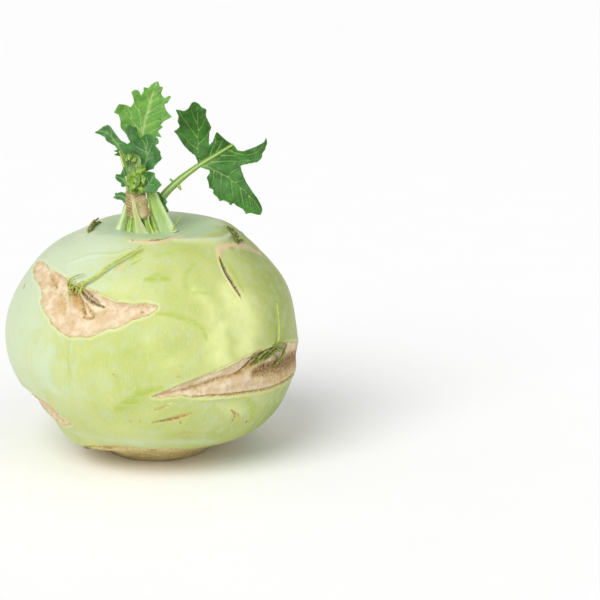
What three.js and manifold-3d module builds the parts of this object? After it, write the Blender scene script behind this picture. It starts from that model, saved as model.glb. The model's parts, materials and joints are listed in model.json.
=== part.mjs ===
// Kohlrabi: the swollen stem of the plant, as picked, with its young leaves still on the crown.
// Millimetres, +Z up. The origin is the centre of the flat cut root end that it stands on; -Y is its front.
// Azimuths are in degrees from the front, growing towards +X. Arc is the distance walked over the skin, in
// millimetres, from the middle of the root end up to the crown.
import * as THREE from "three";
import { TessellateModifier } from "three/addons/modifiers/TessellateModifier.js";
import { mergeVertices } from "three/addons/utils/BufferGeometryUtils.js";
import Module from "manifold-3d";

const GAP = 0.3; // room left between neighbouring pieces
const BLADE_THICKNESS = 0.8;
const CORM_SEGMENTS = 64;
const CORM_ROWS = 40;
const STALK_SIDES = 10;
const BLADE_EDGE = 3.2; // longest triangle edge on a leaf blade
const LEAN_BACK = THREE.MathUtils.degToRad(14); // the plane that the leaf blades spread in leans back

// Half of the corm's outline, as [radius, height], from the rim of the flat root end up to the crown. The root was
// trimmed with a bevel, which meets the skin at radius 30.
const ROOT_END_RADIUS = 17.5;
const BEVEL_ARC = 32;
const OUTLINE = [
  [ROOT_END_RADIUS, 0],
  [21.5, 2.4],
  [25.6, 5],
  [29.2, 7.2],
  [31.4, 8.1],
  [35, 9.2],
  [39, 11.6],
  [43.2, 15.6],
  [47, 21.6],
  [51.4, 33],
  [52.3, 45],
  [49.6, 58],
  [42.6, 70],
  [34.5, 77.3],
  [26.5, 81.6],
  [18, 82.4],
  [9, 80.9],
  [0, 80.2],
];

const COLOURS = {
  skin: [0xc4d184, 0.5],
  leaf: [0x5f974c, 0.55],
  young_leaf: [0x8cbc60, 0.55],
  stalk: [0x9ebe64, 0.45],
  withered: [0xb6a56f, 0.85],
  fibre: [0xb9c95f, 0.7],
};

// ---- the corm -----------------------------------------------------------------------------------------------

// An eyelid outline, pointed at both ends: it rises and sags from the line between them.
function eyelid(halfWidth, rise, sag, points = 6) {
  const outline = [];
  for (let i = 0; i < 2 * points; i++) {
    const along = Math.cos((Math.PI * i) / points);
    const side = i < points ? rise : -sag;
    outline.push([halfWidth * along, side * (1 - along * along)]);
  }
  return outline;
}

// Where old leaves broke off. The outline is [across, up] over the skin, from the place at azimuth and arc.
const SCARS = [
  {
    azimuth: -26, arc: 97, depth: 1.6,
    outline: [
      [-42, 9], [-35, 6.6], [-26, 5], [-21, 1.6], [-17, -2.2], [-9, -7.2], [-2, -9.7], [5.5, -9], [10.6, -6.3],
      [18, -3.1], [25.4, 0.2], [26.6, 1.9], [22, 3.1], [12.6, 3.3], [2, 6.4], [-7.7, 8.2], [-14.8, 10.3], [-29, 11.5],
    ],
  },
  {
    azimuth: 45, arc: 72, depth: 1.8,
    outline: [
      [-38, -4.4], [-23, -5.9], [-2.4, -7.1], [15.9, -8], [32, -8.4], [42, -6.5], [48, -2], [42, 1.5], [31.7, 4.2],
      [19.8, 6.6], [4.5, 7.2], [-7.3, 4.8], [-22.2, 1.2], [-31.5, -1.6],
    ],
  },
  { azimuth: 8, arc: 128.5, depth: 0.6, outline: eyelid(12, 1, 0.8) },
  { azimuth: 62, arc: 117, depth: 1, outline: eyelid(12, 2.5, 2.5) },
  { azimuth: -78, arc: 129, depth: 0.8, outline: eyelid(8, 2, 2.5) },
  {
    azimuth: -66, arc: 56, depth: 1.1,
    outline: [
      [22, -3.3], [17, -1.5], [14, 0.8], [10, 3], [0, 4.5], [-12, 3], [-22, 0], [-12, -3.5], [0, -5.5], [9, -5],
      [17.5, -4.4],
    ],
  },
  { azimuth: 152, arc: 99, depth: 1.6, outline: eyelid(27, 5, 8) },
  { azimuth: -142, arc: 76, depth: 1.7, outline: eyelid(31, 6, 8) },
  { azimuth: 122, arc: 122, depth: 1, outline: eyelid(11, 2, 3) },
  { azimuth: -152, arc: 121, depth: 0.8, outline: eyelid(12, 1.5, 2.5) },
  { azimuth: 118, arc: 50, depth: 1.2, outline: eyelid(22, 4, 5) },
];

// The root end's flat disc, then the smooth outline.
const side = new THREE.SplineCurve(OUTLINE.map(([r, z]) => new THREE.Vector2(r, z)));
const ARC_LENGTH = ROOT_END_RADIUS + side.getLength();

function outlineAt(arc) {
  if (arc <= ROOT_END_RADIUS) return new THREE.Vector2(arc, 0);
  return side.getPointAt(Math.min(1, (arc - ROOT_END_RADIUS) / (ARC_LENGTH - ROOT_END_RADIUS)));
}

// How far the flesh stands off the axis: the middle bulges a little to -X.
const leanAt = (z) => -2 * Math.exp(-(((z - 48) / 18) ** 2));

// Broad places where the flesh stands lower than its outline, or, with a negative depth, higher. Wide is in
// degrees and high in mm over the skin.
const FLATS = [
  { azimuth: -85, arc: 49, wide: 40, high: 11, depth: 2.4 },
  { azimuth: 88, arc: 110, wide: 42, high: 11, depth: 2 },
  { azimuth: -96, arc: 123.5, wide: 34, high: 5, depth: 1.8 },
  { azimuth: 180, arc: 129, wide: 60, high: 7, depth: -0.9 },
];

// Low, broad swellings of the flesh, none at the root end or the crown, and its flat places.
function swelling(azimuth, arc) {
  const a = THREE.MathUtils.degToRad(azimuth);
  const share = Math.sin(Math.PI * THREE.MathUtils.smoothstep(arc, BEVEL_ARC, ARC_LENGTH - 8));
  let height = share * (0.35 * Math.cos(3 * a + 0.6) + 0.3 * Math.sin(2 * a + arc / 16) - 0.3);
  for (const flat of FLATS) {
    const turn = 1 - Math.cos(a - THREE.MathUtils.degToRad(flat.azimuth));
    const reach = 1 - Math.cos(THREE.MathUtils.degToRad(flat.wide));
    height -= flat.depth * Math.exp(-turn / reach - ((arc - flat.arc) / flat.high) ** 2);
  }
  return height;
}

// How much lower than at the front the rim of the trimmed root end is: it was trimmed askew.
function trimTilt(azimuth, arc) {
  const a = THREE.MathUtils.degToRad(azimuth);
  const nearRim = Math.exp(-(((arc - BEVEL_ARC) / 7) ** 2)) * THREE.MathUtils.smoothstep(arc, ROOT_END_RADIUS, 23);
  return nearRim * (1.9 - 1.9 * Math.cos(a) - 0.9 * Math.sin(a));
}

// Distance from a point to the nearest edge of a closed outline: positive inside it, negative outside.
function insideBy(outline, x, y) {
  let nearest = Infinity;
  let inside = false;
  outline.forEach(([ax, ay], i) => {
    const [bx, by] = outline[(i + 1) % outline.length];
    const along = ((x - ax) * (bx - ax) + (y - ay) * (by - ay)) / ((bx - ax) ** 2 + (by - ay) ** 2);
    const t = THREE.MathUtils.clamp(along, 0, 1);
    nearest = Math.min(nearest, Math.hypot(ax + t * (bx - ax) - x, ay + t * (by - ay) - y));
    if (ay > y !== by > y && x < ((bx - ax) * (y - ay)) / (by - ay) + ax) inside = !inside;
  });
  return inside ? nearest : -nearest;
}

// How deep the scars cut at a place on the skin.
function scarDepth(azimuth, arc) {
  let deepest = 0;
  for (const scar of SCARS) {
    const turn = THREE.MathUtils.euclideanModulo(azimuth - scar.azimuth + 180, 360) - 180;
    const across = THREE.MathUtils.degToRad(turn) * outlineAt(scar.arc).x;
    const into = insideBy(scar.outline, across, arc - scar.arc);
    deepest = Math.max(deepest, scar.depth * THREE.MathUtils.smoothstep(into, -1, 2));
  }
  return deepest;
}

// The corm as a lathed outline with its swellings and scars; clearance makes it that much bigger all round.
function cormGeometry(clearance = 0) {
  const outline = [];
  const rowArcs = [0, ROOT_END_RADIUS / 2];
  for (let i = 0; i <= CORM_ROWS; i++)
    rowArcs.push(ROOT_END_RADIUS + (i / CORM_ROWS) * (ARC_LENGTH - ROOT_END_RADIUS));
  for (const arc of rowArcs) outline.push(outlineAt(arc));
  outline[outline.length - 1].x = 0;
  const lathe = new THREE.LatheGeometry(outline, CORM_SEGMENTS, Math.PI).rotateX(Math.PI / 2);
  const place = lathe.attributes.position;
  const normal = lathe.attributes.normal;
  for (let i = 0; i < place.count; i++) {
    const row = i % outline.length;
    const segment = Math.floor(i / outline.length) % CORM_SEGMENTS;
    const azimuth = 180 + (360 * segment) / CORM_SEGMENTS;
    const arc = rowArcs[row];
    const onRootEnd = arc <= ROOT_END_RADIUS;
    const relief = onRootEnd ? 0 : swelling(azimuth, arc) - scarDepth(azimuth, arc);
    const push = relief + clearance;
    const outward = row === 0 || row === outline.length - 1 ? 0 : push; // the ends on the axis only move up or down
    place.setXYZ(
      i,
      place.getX(i) + normal.getX(i) * outward + leanAt(place.getZ(i)),
      place.getY(i) + normal.getY(i) * outward,
      place.getZ(i) + normal.getZ(i) * push - trimTilt(azimuth, arc),
    );
  }
  return lathe;
}

// A point above the skin by lift, for the fibres and stubs that lie on it.
function overSkin(azimuth, arc, lift) {
  const step = 0.5;
  const here = outlineAt(arc);
  const before = outlineAt(arc - step);
  const after = outlineAt(arc + step);
  const outward = new THREE.Vector2(after.y - before.y, before.x - after.x).normalize();
  const relief = lift + swelling(azimuth, arc);
  const radius = here.x + outward.x * relief;
  const a = THREE.MathUtils.degToRad(azimuth);
  return [radius * Math.sin(a) + leanAt(here.y), -radius * Math.cos(a), here.y + outward.y * relief];
}

// ---- stalks and fibres --------------------------------------------------------------------------------------

// A round stalk through the points: a cylinder bent along their curve, its radius going from first to last, and
// widened by flare where it grows out of the crown.
function stalkGeometry({ points, first, last, flare = 0 }, clearance = 0) {
  const path = new THREE.CatmullRomCurve3(points.map((p) => new THREE.Vector3(...p)));
  const steps = Math.max(4, Math.round(path.getLength() / (2.2 * Math.max(first, 0.9))));
  const frames = path.computeFrenetFrames(steps);
  const sides = Math.max(first, last) < 0.6 ? 6 : STALK_SIDES;
  const tube = new THREE.CylinderGeometry(1, 1, 1, sides, steps);
  const place = tube.attributes.position;
  for (let i = 0; i < place.count; i++) {
    const t = place.getY(i) + 0.5;
    const row = Math.round(t * steps);
    const swell = flare * Math.exp(-(t * path.getLength()) / 3);
    const radius = THREE.MathUtils.lerp(first, last, t) + swell + clearance;
    const spot = path
      .getPointAt(t)
      .addScaledVector(frames.normals[row], place.getX(i) * radius)
      .addScaledVector(frames.binormals[row], -place.getZ(i) * radius)
      .addScaledVector(frames.tangents[row], clearance * (2 * t - 1));
    place.setXYZ(i, spot.x, spot.y, spot.z);
  }
  return tube;
}

const STALKS = {
  left_leaf_stalk: {
    points: [
      [-11.8, -3, 78.5], [-10.2, -3, 85], [-8.9, -2.6, 91], [-8.8, -2.4, 96], [-9.8, -2.2, 102], [-11, -2, 106.6],
    ],
    first: 1.7, last: 0.7, flare: 1.6,
  },
  middle_leaf_stalk: {
    points: [[4.8, -2, 79.5], [2.6, -2, 87], [-0.4, -1.6, 94.5], [-3.4, -0.8, 101]],
    first: 1.9, last: 1, flare: 1.4,
  },
  tall_leaf_stalk: {
    points: [[-5, 3.4, 79], [-5.2, 3.8, 90], [-5, 3.8, 101], [-4.4, 3.4, 109.6]],
    first: 1.6, last: 0.9, flare: 0.8,
  },
  right_leaf_stalk: {
    points: [[-1, 4.4, 79], [0.2, 3.8, 87.5], [3.2, 3.2, 92.8], [8.2, 2.6, 97.8], [12.8, 2.2, 101.5], [16.6, 2, 104.4]],
    first: 2, last: 1.4, flare: 0.6,
  },
  withered_leaf_stalk: {
    points: [[-4, -6.6, 79], [-5, -6.4, 85.5], [-5.8, -5.8, 90], [-6.8, -5, 94.6]],
    first: 1.1, last: 0.5, flare: 1.2,
  },
  left_stalk_stub: { points: [[-7.7, -5.6, 79], [-7.5, -5.4, 83], [-7.6, -4.8, 86.8]], first: 0.8, last: 0.6, flare: 0.6 },
  right_stalk_stub: { points: [[-1.2, -5.6, 79], [-2.1, -5.5, 83], [-3.2, -5, 86.4]], first: 0.9, last: 0.6, flare: 0.5 },
  left_scar_stub: {
    points: [overSkin(-66, 129.4, 0.2), overSkin(-78, 131.2, 0.9), overSkin(-100, 133, 1)],
    first: 1.4, last: 0.8,
  },
  right_scar_stub: {
    points: [overSkin(66, 120.6, 0.6), overSkin(76, 122.6, 1.6), overSkin(90, 125.4, 1)],
    first: 1.2, last: 0.7,
  },
  back_scar_stub: {
    points: [overSkin(148, 102.4, 0), overSkin(153, 104.6, 1.4), overSkin(157, 107.6, 1.8)],
    first: 1.7, last: 1.1,
  },
};

const FIBRES = {
  long_scar_fibre: {
    points: [overSkin(-27, 104.6, 0.8), overSkin(-18, 109.8, 1.3), overSkin(-10.5, 115.8, 1.3), overSkin(-5, 121, 0.8)],
    first: 0.45, last: 0.35,
  },
  short_scar_fibre: {
    points: [overSkin(-34.4, 105.4, 1), overSkin(-33.6, 107.6, 1.6), overSkin(-31.4, 109.4, 2)],
    first: 0.4, last: 0.3,
  },
  upright_scar_fibre: {
    points: [overSkin(58.5, 80.4, 1), overSkin(60, 86, 2.4), overSkin(61.5, 93, 2)],
    first: 0.4, last: 0.3,
  },
  crown_fibre: { points: [[7.1, -4.6, 82], [8, -5.2, 84.4], [9.5, -6, 86.8]], first: 0.35, last: 0.3 },
};

// ---- leaf blades --------------------------------------------------------------------------------------------

// A blade's outline is [across, up] in its plane from its foot; rib is the line of its midrib there, and fold,
// cup and tip set how far it comes forward: away from the midrib, towards its sides, and along its height.
const BLADES = {
  tall_leaf_blade: {
    foot: [-3.9, 3, 110.2], rib: [6.1, 22.5], fold: 0.18, cup: 0.012, tip: 0.006, thickness: BLADE_THICKNESS,
    outline: [
      [0, 0], [3.5, 1], [7, 3.4], [5.8, 5.6], [7.6, 7.4], [10.8, 10.2], [8.2, 13.2], [10.4, 17], [7, 18.2],
      [7.6, 20.4], [6.1, 22.5], [3, 20], [0.6, 17.5], [-1.4, 19.4], [-3.3, 18.5], [-2.5, 14.8], [-4, 13.2],
      [-6.7, 14.3], [-9.2, 11.2], [-7.3, 7], [-6.5, 4.8], [-3, 1.5],
    ],
  },
  middle_leaf_blade: {
    foot: [-3.8, -1, 102], rib: [-1.6, 13], fold: 0.25, cup: 0.02, tip: 0.004, thickness: BLADE_THICKNESS,
    outline: [
      [0, 0], [3.5, 0.7], [4.9, 2.4], [6.8, 4.8], [5.6, 8.4], [5.4, 12.4], [0.4, 13.4], [-1.9, 12.5], [-5.4, 16.4],
      [-6.2, 14], [-3.5, 9.2], [-2.2, 5.1],
    ],
  },
  left_leaf_blade: {
    foot: [-11.2, -2, 107.2], rib: [-6.5, 12], fold: 0.3, cup: 0.01, tip: 0, thickness: BLADE_THICKNESS,
    outline: [
      [0.4, -0.6], [2.6, 0.6], [3.6, 2.4], [2.6, 4.5], [0.6, 5.6], [-1.6, 8], [-3.8, 10.6], [-5.8, 12], [-7.6, 10.8],
      [-9.6, 8.8], [-6.9, 7.8], [-3.7, 5], [-3, 2], [-1.2, 0.2],
    ],
  },
  left_lower_leaflet: {
    foot: [-10.7, -2.4, 97], rib: [-3, 4], fold: 0.2, cup: 0, tip: 0, thickness: BLADE_THICKNESS,
    outline: [[0, 0], [0.2, 3], [-0.6, 6.5], [-1.6, 4.6], [-3.6, 3.5], [-2.3, 2], [-1.6, -0.2]],
  },
  left_low_leaflet: {
    foot: [-10.7, -2.6, 91.4], rib: [-4, 1], fold: 0.2, cup: 0, tip: 0, thickness: BLADE_THICKNESS,
    outline: [[0, -0.3], [-0.2, 2], [-1.6, 2.3], [-3.6, 2.4], [-3.3, 1.3], [-4.5, 0.1], [-2.3, -1], [-0.8, -1.4]],
  },
  front_leaflet: {
    foot: [-3.0, -5.4, 95.4], rib: [3.4, 4], fold: 0.25, cup: 0.03, tip: 0, thickness: BLADE_THICKNESS,
    outline: [
      [0, 0], [-0.6, 2.1], [0, 4.4], [1.9, 6.6], [3.8, 5.9], [4.2, 3.8], [6, 1.6], [4.6, 0.5], [3.9, -0.8],
      [1.8, -1.1],
    ],
  },
  shaded_leaflet: {
    foot: [1, 0.2, 93.4], rib: [3, -6], fold: 0.2, cup: 0, tip: 0, thickness: BLADE_THICKNESS,
    outline: [[0, 0], [1.6, 0.4], [3.4, -1.6], [2.9, -3], [3.9, -4.6], [3.6, -6], [2.2, -5.8], [1, -3.2]],
  },
  heart_leaf: {
    foot: [-7.0, -3.4, 95.6], rib: [0, 13], fold: 0.5, cup: 0.05, tip: 0, thickness: BLADE_THICKNESS,
    outline: [[0, 0], [1.8, 4], [2.2, 8.5], [1, 11.5], [-0.6, 13.2], [-1.6, 10.5], [-1.7, 8.6], [-1.2, 3.5]],
  },
  withered_leaf_blade: {
    foot: [-5.6, -4.4, 89], rib: [-1, 7], fold: -0.15, cup: -0.07, tip: 0, thickness: BLADE_THICKNESS,
    outline: [
      [-3.4, 5.4], [-0.1, 5.8], [1.4, 5], [3, 2], [3.6, -0.7], [3, -2.2], [1.4, -1], [-1.2, -0.4], [-3.2, -1],
      [-4.2, 1.4],
    ],
  },
  right_leaf_blade: {
    foot: [17.2, 1.6, 104.8], rib: [10.5, 5.6], fold: 0.1, cup: 0.004, tip: -0.004, thickness: BLADE_THICKNESS,
    outline: [
      [0.4, -1.4], [2.2, -2.7], [1.5, -5.6], [2.3, -8.9], [6.5, -14.2], [10.1, -15.6], [15.5, -18.5], [20.2, -19.2],
      [21, -17], [20, -14.1], [17, -10], [14.7, -5.3], [13.5, -2.2], [19.1, -0.4], [20.8, 1.1], [21.7, 3.7],
      [22.3, 7.2], [19.4, 4.9], [13.2, 3.6], [11.2, 5.4], [4.8, 10.2], [4.2, 8], [3, 5.8], [2.2, 5.8], [2.2, 9],
      [3, 11.8], [1.5, 14.3], [1.6, 17.4], [-1.4, 19.6], [-3.5, 19.6], [-6.2, 17.6], [-8.8, 17], [-8, 12.5],
      [-9.8, 10.2], [-7.6, 6.8], [-4.7, 3.9], [-2.3, 2.3], [-1.6, 0.3],
    ],
  },
};

// How far forward of its plane a blade comes at [across, up].
function bladeRelief({ rib, fold, cup, tip }, across, up) {
  const length = Math.hypot(...rib);
  const fromRib = (across * rib[1] - up * rib[0]) / length;
  return fold * Math.sqrt(fromRib ** 2 + 1) + cup * fromRib ** 2 + tip * up ** 2;
}

// A thin plate of the blade's outline, cut into small triangles and bent into its folds.
function bladeGeometry(blade) {
  const shape = new THREE.Shape(blade.outline.map(([across, up]) => new THREE.Vector2(across, up)));
  const flat = new THREE.ExtrudeGeometry(shape, { depth: blade.thickness, bevelEnabled: false });
  const plate = new TessellateModifier(BLADE_EDGE, 12).modify(flat);
  const place = plate.attributes.position;
  for (let i = 0; i < place.count; i++) {
    const [across, up] = [place.getX(i), place.getY(i)];
    const forward = place.getZ(i) - blade.thickness / 2 + bladeRelief(blade, across, up);
    place.setXYZ(
      i,
      blade.foot[0] + across,
      blade.foot[1] + up * Math.sin(LEAN_BACK) - forward * Math.cos(LEAN_BACK),
      blade.foot[2] + up * Math.cos(LEAN_BACK) + forward * Math.sin(LEAN_BACK),
    );
  }
  return plate;
}

// The crumpled bud of unopened leaves in the heart of the crown.
function heartBudGeometry() {
  const bud = new THREE.IcosahedronGeometry(1, 2);
  const place = bud.attributes.position;
  for (let i = 0; i < place.count; i++) {
    const [x, y, z] = [place.getX(i), place.getY(i), place.getZ(i)];
    const crumple = 1 + 0.16 * Math.sin(5 * x + 2 * z) * Math.cos(4 * y - 3 * z);
    place.setXYZ(i, -6 + 1.5 * x * crumple, -5.6 + 1.1 * y * crumple, 100 + 4.4 * z * crumple);
  }
  return bud;
}

// ---- fitting the pieces together ----------------------------------------------------------------------------

const wasm = await Module();
wasm.setup();

function solidOf(geometry) {
  const bare = (geometry.index ? geometry.toNonIndexed() : geometry.clone()).deleteAttribute("normal");
  bare.deleteAttribute("uv");
  const merged = mergeVertices(bare, 1e-3);
  return new wasm.Manifold(
    new wasm.Mesh({
      numProp: 3,
      vertProperties: merged.attributes.position.array,
      triVerts: new Uint32Array(merged.index.array),
    }),
  );
}

function geometryOf(solid) {
  const mesh = solid.getMesh();
  const places = new Float32Array(mesh.numVert * 3);
  for (let i = 0; i < mesh.numVert; i++)
    places.set(mesh.vertProperties.subarray(i * mesh.numProp, i * mesh.numProp + 3), i * 3);
  const geometry = new THREE.BufferGeometry();
  geometry.setAttribute("position", new THREE.BufferAttribute(places, 3));
  geometry.setIndex(new THREE.BufferAttribute(mesh.triVerts, 1));
  geometry.computeVertexNormals();
  return geometry;
}

// The piece with its neighbours' room cut out of it, keeping its biggest part.
function fitted(geometry, neighbours) {
  let solid = solidOf(geometry);
  for (const room of neighbours) solid = solid.subtract(room);
  const parts = solid.decompose().sort((a, b) => b.volume() - a.volume());
  return geometryOf(parts[0]);
}

const kohlrabi = new THREE.Group();

function addPiece(name, geometry, finish) {
  const [color, roughness] = COLOURS[finish];
  const mesh = new THREE.Mesh(geometry, new THREE.MeshStandardMaterial({ color, roughness, metalness: 0 }));
  mesh.name = name;
  kohlrabi.add(mesh);
}

addPiece("corm", cormGeometry(), "skin");
const rooms = [solidOf(cormGeometry(GAP))];

for (const [name, stalk] of Object.entries(STALKS)) {
  addPiece(name, fitted(stalkGeometry(stalk), rooms), name.startsWith("withered") ? "withered" : "stalk");
  rooms.push(solidOf(stalkGeometry(stalk, GAP)));
}
for (const [name, fibre] of Object.entries(FIBRES)) {
  addPiece(name, fitted(stalkGeometry(fibre), rooms), "fibre");
  rooms.push(solidOf(stalkGeometry(fibre, GAP)));
}
addPiece("heart_bud", fitted(heartBudGeometry(), rooms), "young_leaf");
rooms.push(solidOf(heartBudGeometry()));

const bladeFinish = { tall_leaf_blade: "young_leaf", heart_leaf: "young_leaf", withered_leaf_blade: "withered" };
for (const [name, blade] of Object.entries(BLADES)) {
  addPiece(name, fitted(bladeGeometry(blade), rooms), bladeFinish[name] ?? "leaf");
  rooms.push(solidOf(bladeGeometry({ ...blade, thickness: blade.thickness + 2 * GAP })));
}

export default kohlrabi;
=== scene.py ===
"""A kohlrabi as picked: the corm on its cut root end, its leaf scars, and the young leaves of its heart.

Lengths are millimetres in the part's own frame until a mesh is made, and metres in the meshes.
An azimuth is in degrees from the front (-Y), growing towards +X. An arc is the distance walked over
the skin, in millimetres, from the middle of the root end up to the crown.
"""
import json
import logging
import math
from collections.abc import Sequence
from dataclasses import dataclass, field
from enum import Enum

import bmesh
import bpy
import numpy as np
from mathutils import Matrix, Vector
from mathutils.geometry import delaunay_2d_cdt


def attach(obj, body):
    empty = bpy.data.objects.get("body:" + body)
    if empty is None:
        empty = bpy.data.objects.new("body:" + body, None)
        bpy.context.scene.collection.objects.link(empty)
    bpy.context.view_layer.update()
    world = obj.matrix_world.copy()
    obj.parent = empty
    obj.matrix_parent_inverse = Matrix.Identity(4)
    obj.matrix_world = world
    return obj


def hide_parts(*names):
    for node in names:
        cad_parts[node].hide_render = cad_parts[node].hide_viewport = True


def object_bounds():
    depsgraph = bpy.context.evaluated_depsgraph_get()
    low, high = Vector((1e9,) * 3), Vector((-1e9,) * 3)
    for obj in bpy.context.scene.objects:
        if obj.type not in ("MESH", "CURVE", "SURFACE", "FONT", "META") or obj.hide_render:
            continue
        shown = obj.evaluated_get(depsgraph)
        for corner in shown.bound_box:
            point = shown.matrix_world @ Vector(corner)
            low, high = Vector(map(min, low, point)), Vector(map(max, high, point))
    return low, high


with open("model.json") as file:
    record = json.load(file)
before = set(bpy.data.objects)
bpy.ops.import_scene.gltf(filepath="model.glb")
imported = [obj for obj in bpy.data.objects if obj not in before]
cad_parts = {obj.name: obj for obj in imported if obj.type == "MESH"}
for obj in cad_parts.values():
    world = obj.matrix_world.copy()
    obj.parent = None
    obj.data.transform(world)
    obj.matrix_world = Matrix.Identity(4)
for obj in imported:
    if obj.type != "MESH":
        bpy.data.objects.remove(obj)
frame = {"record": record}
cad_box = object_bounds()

MM = 0.001
TINY = 0.001  # how close two net points are that count as one
OUTSIDE = -20.0  # how far "into" a scar the places are that are nowhere near it
BLADE_LEAN = 14.0  # degrees that the plane of every leaf blade leans back
log = logging.getLogger("kohlrabi")

Point2 = tuple[float, float]
Point3 = tuple[float, float, float]
Array = np.ndarray
Piece = bpy.types.Object
Material = bpy.types.Material


class Slot(Enum):
    """The record's material slots."""

    SKIN = "corm_skin"
    LEAF = "leaf_blade"
    YOUNG_LEAF = "young_leaf"
    STALK = "leaf_stalk"
    WITHERED = "withered_leaf"
    FIBRE = "scar_fibre"
    STUB = "dry_stub"


# ---- sums used by every piece ----


def ramp(value: Array, low: float, high: float) -> Array:
    """Rise smoothly from 0 at low to 1 at high."""
    share = np.clip((value - low) / (high - low), 0.0, 1.0)
    return share * share * (3.0 - 2.0 * share)


def hump(value: Array, centre: float, width: float) -> Array:
    """A rounded hump of height 1 at the centre."""
    return np.exp(-(((value - centre) / width) ** 2))


def lumps(places: Array, grain: float, seed: int) -> Array:
    """Smooth noise between -1 and 1.

    Args:
        places: one row per place, in millimetres.
        grain: the size of a lump, in millimetres.
        seed: a different lattice for each seed.

    Returns:
        One value for each place.
    """
    size = 32
    away_from_zero = 16.0 * size
    lattice = np.random.default_rng(seed).uniform(-1.0, 1.0, (size, size, size))
    scaled = places / grain + away_from_zero
    cell = np.floor(scaled).astype(int)
    share = scaled - cell
    share = share * share * (3.0 - 2.0 * share)
    total = np.zeros(len(places))
    for corner in range(8):
        step = np.array([corner & 1, corner >> 1 & 1, corner >> 2 & 1])
        x, y, z = ((cell + step) % size).T
        total += lattice[x, y, z] * np.prod(np.where(step == 1, share, 1.0 - share), axis=1)
    return total


def curve_through(
    points: Sequence[Sequence[float]], step: float, closed: bool = False, roundness: float = 1.0
) -> Array:
    """A smooth curve through the points.

    Args:
        points: what the curve passes through, in order.
        step: the distance between neighbouring points of the result.
        closed: whether the curve comes back to its first point.
        roundness: 1 for a smooth curve, 0 for straight lines with corners.

    Returns:
        Points of the curve, one row each.
    """
    knots = np.array(points, float)
    if len(knots) == 1:
        return knots
    if closed:
        padded = np.vstack([knots[-1:], knots, knots[:2]])
    else:
        padded = np.vstack([knots[:1], knots, knots[-1:]])
    rows = []
    for before, start, end, after in zip(padded, padded[1:], padded[2:], padded[3:]):
        count = max(1, round(float(np.linalg.norm(end - start)) / step))
        t = np.linspace(0.0, 1.0, count, endpoint=False)[:, None]
        leave, arrive = roundness * (end - before) / 2, roundness * (after - start) / 2
        cubic = (2 * start - 2 * end + leave + arrive) * t + 3 * end - 3 * start - 2 * leave - arrive
        rows.append((cubic * t + leave) * t + start)
    if not closed:
        rows.append(knots[-1:])
    return np.vstack(rows)


def walked(path: Array) -> Array:
    """Distance along a path at each of its points."""
    return np.concatenate([[0.0], np.cumsum(np.linalg.norm(np.diff(path, axis=0), axis=1))])


def distance_to_path(places: Array, path: Array) -> tuple[Array, Array]:
    """How far each place is from a path of straight stretches.

    Args:
        places: one row per place, two columns.
        path: the path's points, two columns.

    Returns:
        The distance, and how far along the path its nearest point is, from 0 to 1.
    """
    nearest = np.full(len(places), np.inf)
    along = np.zeros(len(places))
    if len(path) == 1:
        return np.linalg.norm(places - path[0], axis=1), along
    steps = np.linalg.norm(np.diff(path, axis=0), axis=1)
    reached = np.concatenate([[0.0], np.cumsum(steps)])
    for start, end, before, length in zip(path, path[1:], reached, steps):
        stretch = end - start
        share = np.clip(((places - start) @ stretch) / max(length * length, 1e-12), 0.0, 1.0)
        distance = np.linalg.norm(places - start - share[:, None] * stretch, axis=1)
        closer = distance < nearest
        nearest = np.where(closer, distance, nearest)
        along = np.where(closer, (before + share * length) / reached[-1], along)
    return nearest, along


def depth_inside(places: Array, outline: Array) -> Array:
    """Distance to the nearest edge of a closed outline.

    Args:
        places: one row per place, two columns.
        outline: its points, two columns.

    Returns:
        One distance for each place: positive inside the outline, negative outside.
    """
    loop = np.vstack([outline, outline[:1]])
    distance, _ = distance_to_path(places, loop)
    inside = np.zeros(len(places), bool)
    for (ax, ay), (bx, by) in zip(loop, loop[1:]):
        crosses = (ay > places[:, 1]) != (by > places[:, 1])
        if ay != by:
            inside ^= crosses & (places[:, 0] < (bx - ax) * (places[:, 1] - ay) / (by - ay) + ax)
    return np.where(inside, distance, -distance)


def places_3d(flat: Array) -> Array:
    """Flat places with a third column of zeros."""
    return np.column_stack([flat, np.zeros(len(flat))])


def link(thing: Piece) -> None:
    """Put an object into the scene."""
    bpy.context.scene.collection.objects.link(thing)


def make_piece(name: str, places: Array, faces: list[Sequence[int]], fields: dict[str, Array]) -> Piece:
    """Make a smooth-shaded mesh object that stands in the part's frame.

    Args:
        name: the object's name.
        places: its vertices, in millimetres.
        faces: each face's vertex numbers.
        fields: named numbers, one per vertex, that its material reads.

    Returns:
        The object, linked to the scene.
    """
    mesh = bpy.data.meshes.new(name)
    mesh.from_pydata((places * MM).tolist(), [], faces)
    for key, values in fields.items():
        layer = mesh.attributes.new(key, "FLOAT", "POINT")
        layer.data.foreach_set("value", np.asarray(values, np.float32))
    mesh.polygons.foreach_set("use_smooth", np.ones(len(mesh.polygons), bool))
    mesh.update()
    piece = bpy.data.objects.new(name, mesh)
    link(piece)
    return piece


def place_piece(piece: Piece, slot: Slot, *nodes: str) -> None:
    """Put a finished piece on the body, and report it with its slot.

    Args:
        piece: the piece.
        slot: its material slot.
        nodes: the CAD nodes it stands for.
    """
    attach(piece, "root")
    if nodes:
        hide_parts(*nodes)
    log.info("%s: %d faces, slot %s", piece.name, len(piece.data.polygons), slot.value)


# ---- materials ----


def linear(colour: str) -> tuple[float, float, float, float]:
    """Turn a hex colour into linear light.

    Args:
        colour: six hex digits.

    Returns:
        Red, green, blue and alpha.
    """
    parts = [int(colour[i : i + 2], 16) / 255 for i in (0, 2, 4)]
    red, green, blue = (p / 12.92 if p <= 0.04045 else ((p + 0.055) / 1.055) ** 2.4 for p in parts)
    return red, green, blue, 1.0


Socket = bpy.types.NodeSocket
Value = Socket | float
Colour = Socket | str


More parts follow.
